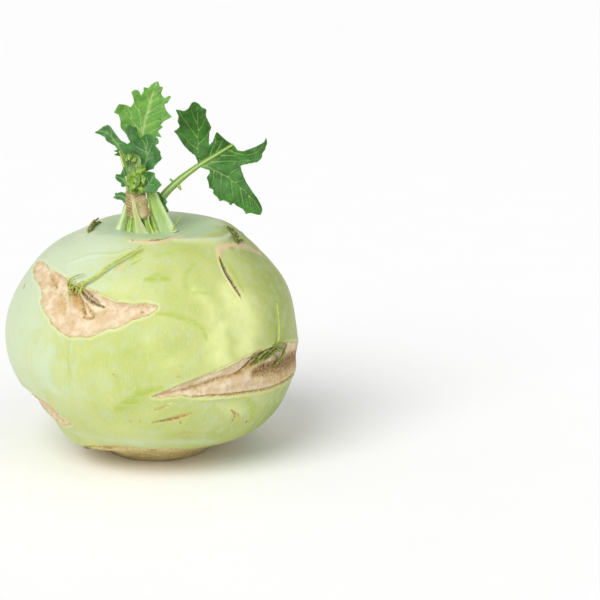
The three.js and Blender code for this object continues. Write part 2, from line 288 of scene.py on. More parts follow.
class Graph:
    """A material's node tree, with a short method for each kind of node used here."""

    def __init__(self, name: str) -> None:
        """Start an empty material.

        Args:
            name: the material's name.
        """
        self.material = bpy.data.materials.new(name)
        self.material.use_nodes = True
        self.tree = self.material.node_tree
        self.tree.nodes.clear()
        place = self.tree.nodes.new("ShaderNodeTexCoord").outputs["Object"]
        self.place = self._node("ShaderNodeVectorMath", "SCALE", [place], scale=1 / MM)

    def _node(
        self, kind: str, operation: str | None, inputs: Sequence[Value], scale: float | None = None
    ) -> Socket:
        """Make a node and feed its first inputs.

        Args:
            kind: the node's type.
            operation: what it works out, where it has a choice.
            inputs: a number or a socket for each of its first inputs.
            scale: the value of its Scale input.

        Returns:
            Its first output.
        """
        node = self.tree.nodes.new(kind)
        if operation:
            node.operation = operation
        for socket, value in zip(node.inputs, inputs):
            self._feed(socket, value)
        if scale is not None:
            node.inputs["Scale"].default_value = scale
        return node.outputs[0]

    def _feed(self, socket: Socket, value: Value | Colour) -> None:
        """Link a socket, or set its value.

        Args:
            socket: the input.
            value: an output, a number or a hex colour.
        """
        if isinstance(value, bpy.types.NodeSocket):
            self.tree.links.new(value, socket)
        elif isinstance(value, str):
            socket.default_value = linear(value)
        else:
            socket.default_value = value

    def field(self, name: str) -> Socket:
        """Read a number that the mesh holds at each vertex.

        Args:
            name: the field's name.

        Returns:
            The number.
        """
        node = self.tree.nodes.new("ShaderNodeAttribute")
        node.attribute_name = name
        return node.outputs["Fac"]

    def noise(self, grain: float, detail: float = 3.0, stretch: Point3 = (1.0, 1.0, 1.0)) -> Socket:
        """Make noise in lumps.

        Args:
            grain: size of a lump, in millimetres.
            detail: how many finer layers it has.
            stretch: how much longer the lumps are along each axis.

        Returns:
            A value between 0 and 1.
        """
        node = self.tree.nodes.new("ShaderNodeTexNoise")
        shrink = tuple(1.0 / s for s in stretch)
        place = self._node("ShaderNodeVectorMath", "MULTIPLY", [self.place, shrink])
        self._feed(node.inputs["Vector"], place)
        node.inputs["Scale"].default_value = 1.0 / grain
        node.inputs["Detail"].default_value = detail
        return node.outputs["Fac"]

    def net(self, grain: float) -> Socket:
        """Divide the surface into small cells, like the finest veins of a leaf.

        Args:
            grain: width of a cell, in millimetres.

        Returns:
            The distance from the cells' borders.
        """
        node = self.tree.nodes.new("ShaderNodeTexVoronoi")
        node.feature = "DISTANCE_TO_EDGE"
        self._feed(node.inputs["Vector"], self.place)
        node.inputs["Scale"].default_value = 1.0 / grain
        return node.outputs["Distance"]

    def sum(self, operation: str, first: Value, second: Value = 0.0) -> Socket:
        """One step of arithmetic."""
        return self._node("ShaderNodeMath", operation, [first, second])

    def times(self, first: Value, second: Value) -> Socket:
        """The product of two numbers."""
        return self.sum("MULTIPLY", first, second)

    def rise(self, value: Socket, low: float, high: float, start: float = 0.0, end: float = 1.0) -> Socket:
        """Go smoothly from one number to another as a value rises.

        Args:
            value: what rises.
            low, high: where the change begins and is complete.
            start, end: the numbers there.

        Returns:
            The number.
        """
        node = self.tree.nodes.new("ShaderNodeMapRange")
        node.interpolation_type = "SMOOTHSTEP"
        for socket, number in zip(node.inputs, (value, low, high, start, end)):
            self._feed(socket, number)
        return node.outputs["Result"]

    def blend(self, share: Value, first: Colour, second: Colour) -> Socket:
        """Mix two colours.

        Args:
            share: how much there is of the second.
            first, second: the colours.

        Returns:
            The mixture.
        """
        node = self.tree.nodes.new("ShaderNodeMix")
        node.data_type = "RGBA"
        self._feed(node.inputs["Factor"], share)
        colours = [socket for socket in node.inputs if socket.type == "RGBA"]
        self._feed(colours[0], first)
        self._feed(colours[1], second)
        return next(socket for socket in node.outputs if socket.type == "RGBA")

    def bump(self, height: Socket, distance: float, under: Socket | None = None) -> Socket:
        """Tilt the surface as if some of it stood higher.

        Args:
            height: from 0 to 1.
            distance: how much higher it stands at 1, in millimetres.
            under: a bumped normal to add this to.

        Returns:
            The bumped normal.
        """
        node = self.tree.nodes.new("ShaderNodeBump")
        node.inputs["Distance"].default_value = distance * MM
        self._feed(node.inputs["Height"], height)
        if under:
            self._feed(node.inputs["Normal"], under)
        return node.outputs["Normal"]

    def finish(
        self,
        colour: Colour,
        roughness: Value,
        normal: Socket,
        specular: float = 0.4,
        flesh: float = 0.0,
        glow: float = 0.0,
    ) -> Material:
        """Close the material with its surface shader.

        Args:
            colour: its base colour.
            roughness: 0 for a mirror, 1 for chalk.
            normal: the bumped normal.
            specular: how strong its gloss is.
            flesh: how much light goes in and comes out again near by.
            glow: how much light comes through from behind, for a thin leaf.

        Returns:
            The finished material.
        """
        shader = self.tree.nodes.new("ShaderNodeBsdfPrincipled")
        self._feed(shader.inputs["Base Color"], colour)
        self._feed(shader.inputs["Roughness"], roughness)
        self._feed(shader.inputs["Normal"], normal)
        shader.inputs["Specular IOR Level"].default_value = specular
        if flesh:
            shader.inputs["Subsurface Weight"].default_value = flesh
            shader.inputs["Subsurface Radius"].default_value = (1.0, 1.0, 0.4)
            shader.inputs["Subsurface Scale"].default_value = 1.5 * MM
        surface = shader.outputs[0]
        if glow:
            through = self.tree.nodes.new("ShaderNodeBsdfTranslucent")
            self._feed(through.inputs["Color"], colour)
            mixed = self.tree.nodes.new("ShaderNodeMixShader")
            mixed.inputs["Fac"].default_value = glow
            self._feed(mixed.inputs[1], surface)
            self._feed(mixed.inputs[2], through.outputs[0])
            surface = mixed.outputs[0]
        output = self.tree.nodes.new("ShaderNodeOutputMaterial")
        self._feed(output.inputs["Surface"], surface)
        return self.material


@dataclass(frozen=True)
class SkinFinish:
    """Smooth waxy skin with pale bloom, corky scars and a woody root end."""

    flesh: str = "c5cd80"
    deep: str = "b1be63"
    # shade: the colour of the painted shade on the right flank and low on the corm
    shade: str = "8f9f36"
    bloom: str = "cad8ba"
    dish: str = "b2caa0"
    patch: str = "a6bb3f"
    pale: str = "e9efa6"
    cork: str = "d6bb94"
    cork_pale: str = "e9dabb"
    cork_dark: str = "c39f72"
    pink: str = "e2c3a0"
    ochre: str = "c4a055"
    # brown and olive: real stains, and painted shade in some marks
    brown: str = "86683a"
    olive: str = "4a4c1c"
    wood: str = "ddc98c"
    wood_dark: str = "b7a266"
    wood_pale: str = "e6d8a6"
    wood_ring: str = "a08b58"
    cut_line: str = "8a7440"
    strand: str = "dfe6a6"
    speck: str = "a5ba58"
    pale_speck: str = "ecf0c4"
    fold: str = "b9a05e"
    pit: str = "b1895f"
    margin: str = "dfe0a8"
    rim: str = "b0965a"

    def skin(self, graph: Graph) -> Socket:
        """Yellow-green flesh under pale bloom, with faint fibres and greener patches, and painted shade on
        the right flank and low down.

        Args:
            graph: the material's nodes.

        Returns:
            The skin's colour.
        """
        mottle = graph.rise(graph.noise(8.0, 4.0), 0.3, 0.7, 0.0, 0.6)
        colour = graph.blend(mottle, self.flesh, self.deep)
        # Painted shade: darker olive on the right flank and low on the corm.
        colour = graph.blend(graph.times(graph.field("shade"), 0.8), colour, self.shade)
        cloud = graph.rise(graph.noise(4.0, 5.0), 0.25, 0.75, -0.22, 0.22)
        # Bloom: real waxy bloom, with painted light where it is laid on heavier on the left.
        bloom = graph.sum("ADD", graph.field("bloom"), cloud)
        colour = graph.blend(graph.rise(bloom, 0.0, 1.0, 0.0, 0.9), colour, self.bloom)
        dish = graph.sum("ADD", graph.field("dish"), graph.times(cloud, 1.3))
        colour = graph.blend(graph.rise(dish, 0.0, 1.1, 0.0, 0.95), colour, self.dish)
        strands = graph.rise(graph.noise(0.6, 2.0, (1.0, 1.0, 7.0)), 0.5, 0.75, 0.0, 0.22)
        colour = graph.blend(strands, colour, self.strand)
        specks = graph.rise(graph.noise(0.7, 2.0), 0.6, 0.78, 0.0, 0.3)
        colour = graph.blend(specks, colour, self.speck)
        pale_specks = graph.rise(graph.noise(0.45, 1.0), 0.68, 0.8, 0.0, 0.45)
        colour = graph.blend(pale_specks, colour, self.pale_speck)
        streaks = graph.rise(graph.noise(1.6, 4.0, (2.0, 1.0, 0.5)), 0.3, 0.7, 0.3, 1.0)
        clouds = graph.rise(graph.noise(5.0, 4.0), 0.3, 0.7, 0.55, 0.95)
        # The white wash is real bloom in some strokes and painted highlight in others.
        washes = (("pale", self.pale, clouds), ("white", self.bloom, clouds), ("green", self.patch, streaks))
        for name, tone, broken in washes:
            share = graph.times(graph.rise(graph.field(name), 0.0, 0.9, 0.0, 0.87), broken)
            colour = graph.blend(share, colour, tone)
        return colour

    def cork_colour(self, graph: Graph) -> Socket:
        """Pink-cream cork inside a scar, darker where its folds run together.

        Args:
            graph: the material's nodes.

        Returns:
            The cork's colour.
        """
        clouds = graph.rise(graph.noise(3.6, 5.0), 0.32, 0.68)
        colour = graph.blend(clouds, self.cork, self.cork_pale)
        near = graph.times(graph.rise(graph.field("bundle"), 0.1, 0.8), graph.noise(1.6, 4.0))
        colour = graph.blend(graph.rise(near, 0.05, 0.55, 0.0, 0.75), colour, self.fold)
        grime = graph.rise(graph.noise(1.2, 6.0), 0.52, 0.8, 0.0, 0.6)
        colour = graph.blend(grime, colour, self.cork_dark)
        pits = graph.rise(graph.noise(0.5, 4.0), 0.6, 0.78, 0.0, 0.5)
        return graph.blend(pits, colour, self.pit)

    def stains_and_painted_shade(self, graph: Graph, colour: Socket) -> Socket:
        """Add the marks, real stains and painted shade alike, each darker towards its middle and with a
        ragged edge.

        Args:
            graph: the material's nodes.
            colour: what the marks lie on.

        Returns:
            The colour with its marks.
        """
        ragged = graph.rise(graph.noise(0.8, 5.0), 0.25, 0.75, 0.5, 1.5)
        stains = (
            ("pink", self.pink, 0.1, 0.7, 0.85),
            ("ochre", self.ochre, 0.1, 0.9, 0.8),
            ("brown", self.ochre, 0.05, 0.5, 0.5),
            ("brown", self.brown, 0.3, 1.0, 0.85),
            ("olive", self.brown, 0.05, 0.5, 0.65),
            ("olive", self.olive, 0.35, 0.9, 0.95),
        )
        for name, stain, start, end, strength in stains:
            amount = graph.times(graph.field(name), ragged)
            colour = graph.blend(graph.rise(amount, start, end, 0.0, strength), colour, stain)
        return colour

    def material(self) -> Material:
        """Build the whole skin.

        Returns:
            The corm's material.
        """
        graph = Graph("kohlrabi_skin")
        fray = graph.rise(graph.noise(0.8, 4.0), 0.25, 0.75, -0.5, 0.5)
        scar = graph.sum("ADD", graph.field("scar"), graph.times(fray, 0.35))
        inside = graph.rise(scar, -0.15, 0.3)
        colour = graph.blend(inside, self.skin(graph), self.cork_colour(graph))
        margin = graph.times(graph.rise(scar, -1.6, -0.2), graph.rise(scar, 0.1, -0.2))
        colour = graph.blend(graph.times(margin, 0.45), colour, self.margin)
        rim = graph.times(graph.rise(scar, -0.4, 0.0), graph.rise(scar, 0.6, 0.1))
        rim = graph.times(rim, graph.rise(graph.noise(2.5, 3.0), 0.35, 0.65, 0.1, 0.6))
        colour = graph.blend(rim, colour, self.rim)
        colour = self.stains_and_painted_shade(graph, colour)
        cut = graph.sum("ADD", graph.field("root_cut"), graph.times(fray, 0.9))
        on_cut = graph.rise(cut, -0.15, 0.25)
        grain = graph.rise(graph.noise(0.9, 5.0), 0.35, 0.7)
        wood = graph.blend(grain, self.wood, self.wood_dark)
        wood = graph.blend(graph.rise(graph.field("ring"), 0.2, 0.9, 0.0, 0.4), wood, self.wood_ring)
        wood = graph.blend(graph.rise(graph.noise(5.0, 3.0), 0.4, 0.7, 0.0, 0.6), wood, self.wood_pale)
        colour = graph.blend(on_cut, colour, self.stains_and_painted_shade(graph, wood))
        cut_line = graph.times(graph.rise(cut, -0.5, -0.05), graph.rise(cut, 0.5, 0.05))
        colour = graph.blend(graph.times(cut_line, 0.55), colour, self.cut_line)

        dry = graph.sum("MAXIMUM", inside, on_cut)
        roughness = graph.rise(dry, 0.0, 1.0, 0.42, 0.8)
        corky = graph.times(graph.noise(0.5, 6.0), graph.rise(dry, 0.0, 1.0, 0.05, 1.0))
        normal = graph.bump(corky, 0.3)
        normal = graph.bump(graph.noise(1.6, 4.0), 0.05, normal)
        return graph.finish(colour, roughness, normal, specular=0.35, flesh=0.1)


@dataclass(frozen=True)
class LeafFinish:
    """A leaf's upper and lower sides, with pale veins.

    Attributes:
        name: the material's name.
        blade, deep, fresh: its middling, darkest and brightest greens.
        vein: the colour of its veins.
        glow: how much light comes through it.
        bloom: how much waxy grey-blue bloom lies on it.
        wax: the colour of that bloom.
    """

    name: str
    blade: str
    deep: str
    fresh: str
    vein: str
    glow: float = 0.3
    bloom: float = 0.25
    wax: str = "a9c4a4"

    def material(self) -> Material:
        """Build the material.

        Returns:
            The leaf's material.
        """
        graph = Graph(self.name)
        patches = graph.rise(graph.noise(4.0, 4.0), 0.34, 0.66)
        colour = graph.blend(patches, self.deep, self.blade)
        colour = graph.blend(graph.rise(graph.noise(2.4, 3.0), 0.5, 0.8, 0.0, 0.7), colour, self.fresh)
        bloom = graph.rise(graph.noise(6.0, 5.0), 0.35, 0.75, 0.0, self.bloom)
        colour = graph.blend(bloom, colour, self.wax)
        net = graph.net(0.8)
        colour = graph.blend(graph.rise(net, 0.12, 0.0, 0.0, 0.22), colour, self.vein)
        vein = graph.field("vein")
        colour = graph.blend(graph.rise(vein, 3.0, 0.9, 0.0, 0.25), colour, self.vein)
        colour = graph.blend(graph.rise(vein, 1.1, 0.4, 0.0, 0.85), colour, self.vein)
        colour = graph.blend(graph.rise(graph.field("edge"), 0.32, 0.05, 0.0, 0.4), colour, self.fresh)
        roughness = graph.rise(graph.noise(1.5, 3.0), 0.3, 0.7, 0.4, 0.58)
        normal = graph.bump(graph.rise(net, 0.0, 0.25), 0.09)
        normal = graph.bump(graph.noise(0.5, 3.0), 0.05, normal)
        return graph.finish(colour, roughness, normal, specular=0.4, glow=self.glow)


@dataclass(frozen=True)
class StalkFinish:
    """A juicy stalk: pale, bloomed flesh at its foot, green at its leaf, with lengthwise lines, painted
    highlight on its ridges and painted shade in its channel.
    """

    name: str
    foot: str
    middle: str
    top: str
    # line: the colour of the lengthwise lines, and of the painted shade in the channel
    line: str
    painted_ridge_highlight: str = "dce8b8"

    def material(self) -> Material:
        """Build the material.

        Returns:
            The stalk's material.
        """
        graph = Graph(self.name)
        wander = graph.times(graph.sum("SUBTRACT", graph.noise(3.0), 0.5), 0.35)
        along = graph.sum("ADD", graph.field("along"), wander)
        colour = graph.blend(graph.rise(along, 0.02, 0.45), self.foot, self.middle)
        colour = graph.blend(graph.rise(along, 0.45, 1.0), colour, self.top)
        streaks = graph.rise(graph.noise(0.5, 3.0, (1.0, 1.0, 8.0)), 0.45, 0.72, 0.0, 0.4)
        colour = graph.blend(streaks, colour, self.line)
        # Painted highlight on the ridges and the channel's rims.
        ridge = graph.rise(graph.field("ridge"), 0.1, 0.9, 0.0, 0.6)
        colour = graph.blend(ridge, colour, self.painted_ridge_highlight)
        # Painted shade down the channel.
        groove = graph.rise(graph.field("ridge"), -0.1, -0.9, 0.0, 0.45)
        colour = graph.blend(groove, colour, self.line)
        roughness = graph.rise(graph.noise(1.0), 0.3, 0.7, 0.4, 0.55)
        normal = graph.bump(graph.noise(0.4, 3.0, (1.0, 1.0, 8.0)), 0.08)
        return graph.finish(colour, roughness, normal, specular=0.4, flesh=0.15)


@dataclass(frozen=True)
class WitheredFinish:
    """Dry, papery leaf with pale and brown herringbone folds."""

    name: str = "kohlrabi_withered"
    pale: str = "d8c898"
    tan: str = "c9ae82"
    brown: str = "a68a60"
    vein: str = "dfdcab"
    green: str = "b3b85c"

    def material(self) -> Material:
        """Build the material.

        Returns:
            The dry leaf's material.
        """
        graph = Graph(self.name)
        colour = graph.blend(graph.rise(graph.noise(1.6, 5.0), 0.35, 0.65), self.tan, self.pale)
        between = graph.rise(graph.field("vein"), 1.6, 3.4, 0.0, 0.75)
        colour = graph.blend(between, colour, self.brown)
        colour = graph.blend(graph.rise(graph.field("vein"), 1.8, 0.6, 0.0, 0.8), colour, self.vein)
        colour = graph.blend(graph.rise(graph.noise(0.5, 3.0), 0.58, 0.78, 0.0, 0.5), colour, self.brown)
        colour = graph.blend(graph.rise(graph.noise(3.0, 2.0), 0.5, 0.75, 0.0, 0.4), colour, self.green)
        normal = graph.bump(graph.noise(0.5, 5.0), 0.2)
        return graph.finish(colour, 0.8, normal, specular=0.2, glow=0.15)


@dataclass(frozen=True)
class StubFinish:
    """Dried, dark end of an old stalk."""

    name: str = "kohlrabi_dry_stub"
    dark: str = "47521d"
    tan: str = "87904a"
    pale: str = "c4b078"

    def material(self) -> Material:
        """Build the material.

        Returns:
            The stub's material.
        """
        graph = Graph(self.name)
        streaks = graph.rise(graph.noise(0.7, 5.0), 0.38, 0.66)
        colour = graph.blend(streaks, self.dark, self.tan)
        colour = graph.blend(graph.rise(graph.noise(1.2, 3.0), 0.5, 0.75, 0.0, 0.7), colour, self.pale)
        normal = graph.bump(graph.noise(0.5, 5.0), 0.35)
        return graph.finish(colour, 0.85, normal, specular=0.2)


@dataclass(frozen=True)
class FibreFinish:
    """A tough green fibre torn out of a scar, tan at its root."""

    name: str = "kohlrabi_fibre"
    green: str = "c2d662"
    tan: str = "a5ab4e"
    old: str = "55641f"

    def material(self) -> Material:
        """Build the material.

        Returns:
            The fibre's material.
        """
        graph = Graph(self.name)
        colour = graph.blend(graph.rise(graph.noise(1.2, 3.0), 0.35, 0.7), self.green, self.tan)
        uneven = graph.rise(graph.noise(0.7, 3.0), 0.3, 0.6, 0.5, 1.0)
        aged = graph.times(graph.field("age"), uneven)
        colour = graph.blend(aged, colour, self.old)
        normal = graph.bump(graph.noise(0.3), 0.05)
        return graph.finish(colour, 0.55, normal, specular=0.35)


@dataclass(frozen=True)
class FloorFinish:
    """Plain white studio surface."""

    colour: str = "fdfdfd"
    cloud: str = "fbfbfb"

    def material(self) -> Material:
        """Build the material.

        Returns:
            The surface's material.
        """
        graph = Graph("studio_floor")
        tone = graph.blend(graph.noise(40.0), self.colour, self.cloud)
        return graph.finish(tone, 0.9, graph.bump(graph.noise(2.0), 0.002), specular=0.1)


# ---- the corm ----


class Tint(Enum):
    """What a mark on the skin carries: a stain, or painted shade or highlight."""

    NONE = "none"
    PINK = "pink"
    OCHRE = "ochre"
    BROWN = "brown"
    OLIVE = "olive"
    GREEN = "green"
    PALE = "pale"
    # Bloom, and painted highlight on the crown's rims and the left side.
    WHITE = "white"


PINK, OCHRE, BROWN, OLIVE, GREEN, PALE, WHITE = list(Tint)[1:]


@dataclass(frozen=True)
class Mark:
    """A crack, ridge, stain, patch or stroke of painted shade or highlight that follows a path over the skin.

    Attributes:
        path: its points, as azimuth and arc.
        width: how far it reaches on each side of its path.
        relief: how high it stands, or how deep it is if negative.
        tint: what stains it, or the painted shade or highlight it carries.
        strength: how strong the stain, shade or highlight is.
    """

    path: Sequence[Point2]
    width: float
    relief: float = 0.0
    tint: Tint = Tint.NONE
    strength: float = 1.0


@dataclass(frozen=True)
class Scar:
    """Where an old leaf broke off.

    Attributes:
        azimuth, arc: the place that its outline is measured from.
        outline: points as across and up, over the skin.
        depth: how deep the cork lies under the skin.
        marks: what is on it, as azimuth and arc over the whole corm.
        bundle: where its folds run together, as azimuth and arc.
    """

    azimuth: float
    arc: float
    outline: Sequence[Point2]
    depth: float
    marks: Sequence[Mark] = ()
    bundle: Point2 | None = None


def eyelid(half_width: float, rise: float, sag: float, points: int = 8) -> list[Point2]:
    """An outline that is pointed at both ends.

    Args:
        half_width: how far its ends are from its middle.
        rise, sag: how far it goes up and down from the line between them.
        points: how many points each side has.

    Returns:
        Its points, as across and up.
    """
    outline = []
    for i in range(2 * points):
        along = math.cos(math.pi * i / points)
        outline.append((half_width * along, (rise if i < points else -sag) * (1 - along * along)))
    return outline


FRONT_LEFT_SCAR = Scar(
    -26, 97,
    [(-46, 9.6), (-36, 6.6), (-26.4, 5), (-21.3, 1.8), (-19.8, -0.5), (-17, -2.2), (-12.7, -4.7),
     (-9, -7.2), (-5.3, -9), (-2, -9.7), (2.1, -9.7), (5.5, -9), (8, -7.6), (10.6, -6.3), (15, -5.1),
     (18, -3.1), (21.6, -2), (25.4, 0.2), (26.6, 1.9), (22, 3.1), (17, 2.8), (12.6, 3.3), (7.3, 4.8),
     (2, 6.4), (-2.1, 7.1), (-7.7, 8.2), (-12, 9.3), (-14.8, 10.3), (-20, 11.3), (-30, 12.1), (-41, 12)],
    1.3,
    [
        Mark([(-58, 106.6), (-53, 105.4), (-48, 103.4)], 2.6, -0.6, BROWN, 0.7),
        Mark([(-69, 106.5), (-52, 102.5), (-43.5, 99), (-36, 95.3)], 1.8, 0.55),
        Mark([(-43, 101.4), (-39.4, 98.6), (-35.5, 95)], 3.4, -0.7, OCHRE, 0.75),
        Mark([(-38.6, 104), (-33.3, 99.4), (-30.5, 95.3), (-28.7, 92.1)], 1.5, 0.8),
        Mark([(-35, 102.6), (-29.3, 99), (-25, 95.6)], 2.9, -0.55, OCHRE, 0.95),
        Mark([(-31.6, 102.4), (-27.6, 98.6), (-25.2, 96)], 1.6, -0.4, OLIVE, 0.5),
        Mark([(-26, 99.4), (-23, 97), (-20.7, 95.4), (-22.3, 94.2), (-25.4, 94.6)], 1.3, -0.6, BROWN, 0.7),
        Mark([(-31, 104), (-26.3, 101.5), (-21, 99.6), (-17, 98.7)], 1.2, -0.8, OLIVE, 0.75),
        Mark([(-28.6, 104.1), (-24.2, 102.2), (-19.6, 100.2)], 1.0, -0.5, OLIVE, 0.6),
        Mark([(-36, 104.2), (-32.6, 101.8)], 1.9, -0.4, OLIVE, 0.55),
        Mark([(-58, 100), (-50, 96), (-44, 92.6)], 1.4, 0.4),
        Mark([(-19.8, 96), (-15.6, 97.2)], 2.6, 0, OCHRE, 0.5),
        Mark([(-15, 97.4), (-5, 97.4), (3, 98.6)], 1.2, -0.25),
        Mark([(-9, 95.6), (-4.5, 94.8), (0, 96)], 1.0, 0.3),
        Mark([(-0.6, 97.3), (0.4, 96.9)], 1.5, 0.1, OLIVE, 0.45),
        Mark([(-6, 98.6), (-2.6, 99.2)], 1.2, 0.1, BROWN, 0.3),
        # Thin brown line along the scar's top edge: painted shadow under the overhanging skin, over a shallow
        # groove.
        Mark([(-41, 107.2), (-35, 105.8), (-28.3, 104.9), (-23.6, 104), (-17, 102.4), (-10.8, 100.8)],
            0.8, -0.3, BROWN, 0.5),
        Mark([(-30, 90), (-20, 89.6), (-12, 92)], 3.0, 0, BROWN, 0.22),
        Mark([(-46, 98), (-38, 91.6)], 1.6, -0.3, BROWN, 0.2),
    ],
    (-33, 104.4),
)

LOWER_RIGHT_SCAR = Scar(
    45, 72,
    [(-38, -4.3), (-35.7, -4.7), (-31.8, -4.6), (-27.3, -4.4), (-23, -5.8), (-18.2, -6), (-11.5, -6.5),
     (-2.4, -7.1), (8.5, -8.2), (15.9, -8.2), (32, -8.6), (42, -6.5), (48, -2), (42, 1.5), (31.7, 4.4),
     (19.8, 6.6), (11.8, 7), (4.5, 7.2), (-0.6, 6.4), (-7.3, 4.8), (-14.6, 3), (-22.2, 1.2), (-31.5, -1.6)],
    1.2,
    [
        Mark([(15, 68.8), (22.6, 70), (29.8, 71.7), (36, 72), (41, 73)], 1.7, -0.8, BROWN, 0.6),
        Mark([(11, 69.6), (22, 72), (31, 74), (40, 76)], 0.9, 0.5),
        Mark([(48.6, 77.4), (45.4, 75.6), (42.6, 74.2), (39.6, 73.2)], 0.95, -0.9, OLIVE, 0.85),
        # Dark brown line in the crease under the scar's lower lip: painted shadow of the undercut, over a
        # groove.
        Mark([(19, 66.4), (25, 66.2), (32.4, 65.6), (42.4, 65), (54.3, 63.8), (62.5, 63.8), (82, 63.4)],
            0.75, -0.8, BROWN, 0.75),
        Mark([(22, 65), (34, 64.2), (50, 62.7), (64, 62.4)], 0.9, 0.3, OCHRE, 0.5),
        # Painted shade with some real stain: a broad brown and olive wash over the scar's right part.
        Mark([(48, 71), (58, 70.6), (70, 69.4), (86, 68), (100, 67)], 6.0, -0.5, BROWN),
        Mark([(52, 72.6), (62, 72), (76, 70.6), (92, 69)], 4.2, -0.3, OLIVE, 0.6),
        Mark([(52, 66.8), (62, 65.6), (78, 65)], 3.0, 0.5, OCHRE, 0.6),
        Mark([(18.3, 70.4), (21.1, 68.4), (22.6, 67.4)], 2.2, -0.3, BROWN, 0.5),
        Mark([(38.6, 72.2), (42.6, 73), (46.2, 74.4), (50.4, 76)], 2.1, -0.7, OCHRE),
        Mark([(50, 76.8), (56, 77.6), (63, 77)], 2.2, -0.9, OLIVE, 0.75),
        Mark([(33, 69), (44, 69.6), (56, 68.6)], 3.0, 0.9),
        Mark([(4, 67.8), (15, 71.6), (29, 75.6), (44, 79), (56, 79.8), (70, 78.8)], 0.7, -0.25, BROWN, 0.3),
    ],
    (53, 78),
)

LOW_LEFT_SCAR = Scar(
    -66, 56,
    [(24, -4), (20.5, -2), (18.3, 1.9), (15, 4), (10, 5), (0, 5.5), (-12, 4), (-22, 0), (-12, -3.5),
     (0, -5), (8.3, -5.5), (13, -7), (17, -7.4), (22, -4.9)],
    0.9,
    [
        Mark([(-46, 54.2)], 0.8, -0.3, BROWN, 0.8),
        Mark([(-52.5, 60)], 0.7, 0, OLIVE, 0.7),
        Mark([(-42, 53.4), (-54, 55), (-70, 57), (-84, 57)], 1.0, 0.4, OCHRE, 0.5),
        Mark([(-48, 52.6), (-60, 52.4), (-76, 53)], 0.8, -0.5, BROWN, 0.5),
    ],
    (-66, 60),
)

CROWN_MARKS = (
    Mark([(-15, 127.1), (-5, 126.8), (4, 126.6), (13, 127.9), (23, 130.4), (39, 134)], 2.4, 0.4, PINK, 0.9),
    Mark([(-12.4, 127.2), (-5, 128.2), (3, 127.7), (9, 128.6), (18, 131.3), (31, 134.1)], 1.1, -0.9,
        OLIVE, 0.9),
    Mark([(-1, 127.6), (3, 128.6), (8, 129)], 0.9, 0.2, OCHRE),
    Mark([(43.4, 116), (42, 110.5), (43, 104.3), (44.3, 99.8)], 1.35, -1.0, OLIVE),
    Mark([(41, 115.4), (39.8, 109.6), (41.2, 103.4), (43.2, 98.8)], 0.8, 0.4, PINK, 0.6),
    Mark([(45.6, 113), (45.8, 107), (46.6, 101.4)], 2.0, 0.1, GREEN, 0.7),
    Mark([(43.4, 116.4), (46, 119), (50, 120.4), (57, 120.4), (66, 120)], 2.6, 0.4, PINK, 0.8),
    Mark([(55, 118.8), (59, 119)], 1.5, 0.1, OCHRE, 0.9),
    Mark([(64, 118.8), (74, 118.4), (82, 115.5), (88, 111.6)], 4.2, 0.1, PINK, 0.62),
    Mark([(90, 112), (104, 113), (118, 116)], 3.4, 0.1, PINK, 0.5),
    Mark([(70, 120.6), (75, 122.6), (84, 125.4), (95, 128.4)], 1.2, -0.5, OLIVE, 0.8),
    Mark([(-68, 126.8), (-76, 126), (-84, 126.4)], 1.8, 0.3, PINK, 0.7),
    Mark([(-66, 129), (-78, 129.8), (-98, 131.6)], 1.5, -0.4, BROWN, 0.8),
    Mark([(-108, 131), (-118, 131.5), (-134, 131)], 1.4, 0.3, PINK, 0.7),
    Mark([(-15.4, 111), (-11.7, 115.4)], 1.5, 0, PINK, 0.5),
    Mark([(-8.5, 115), (-3.2, 117.7)], 0.8, -0.1, GREEN),
)

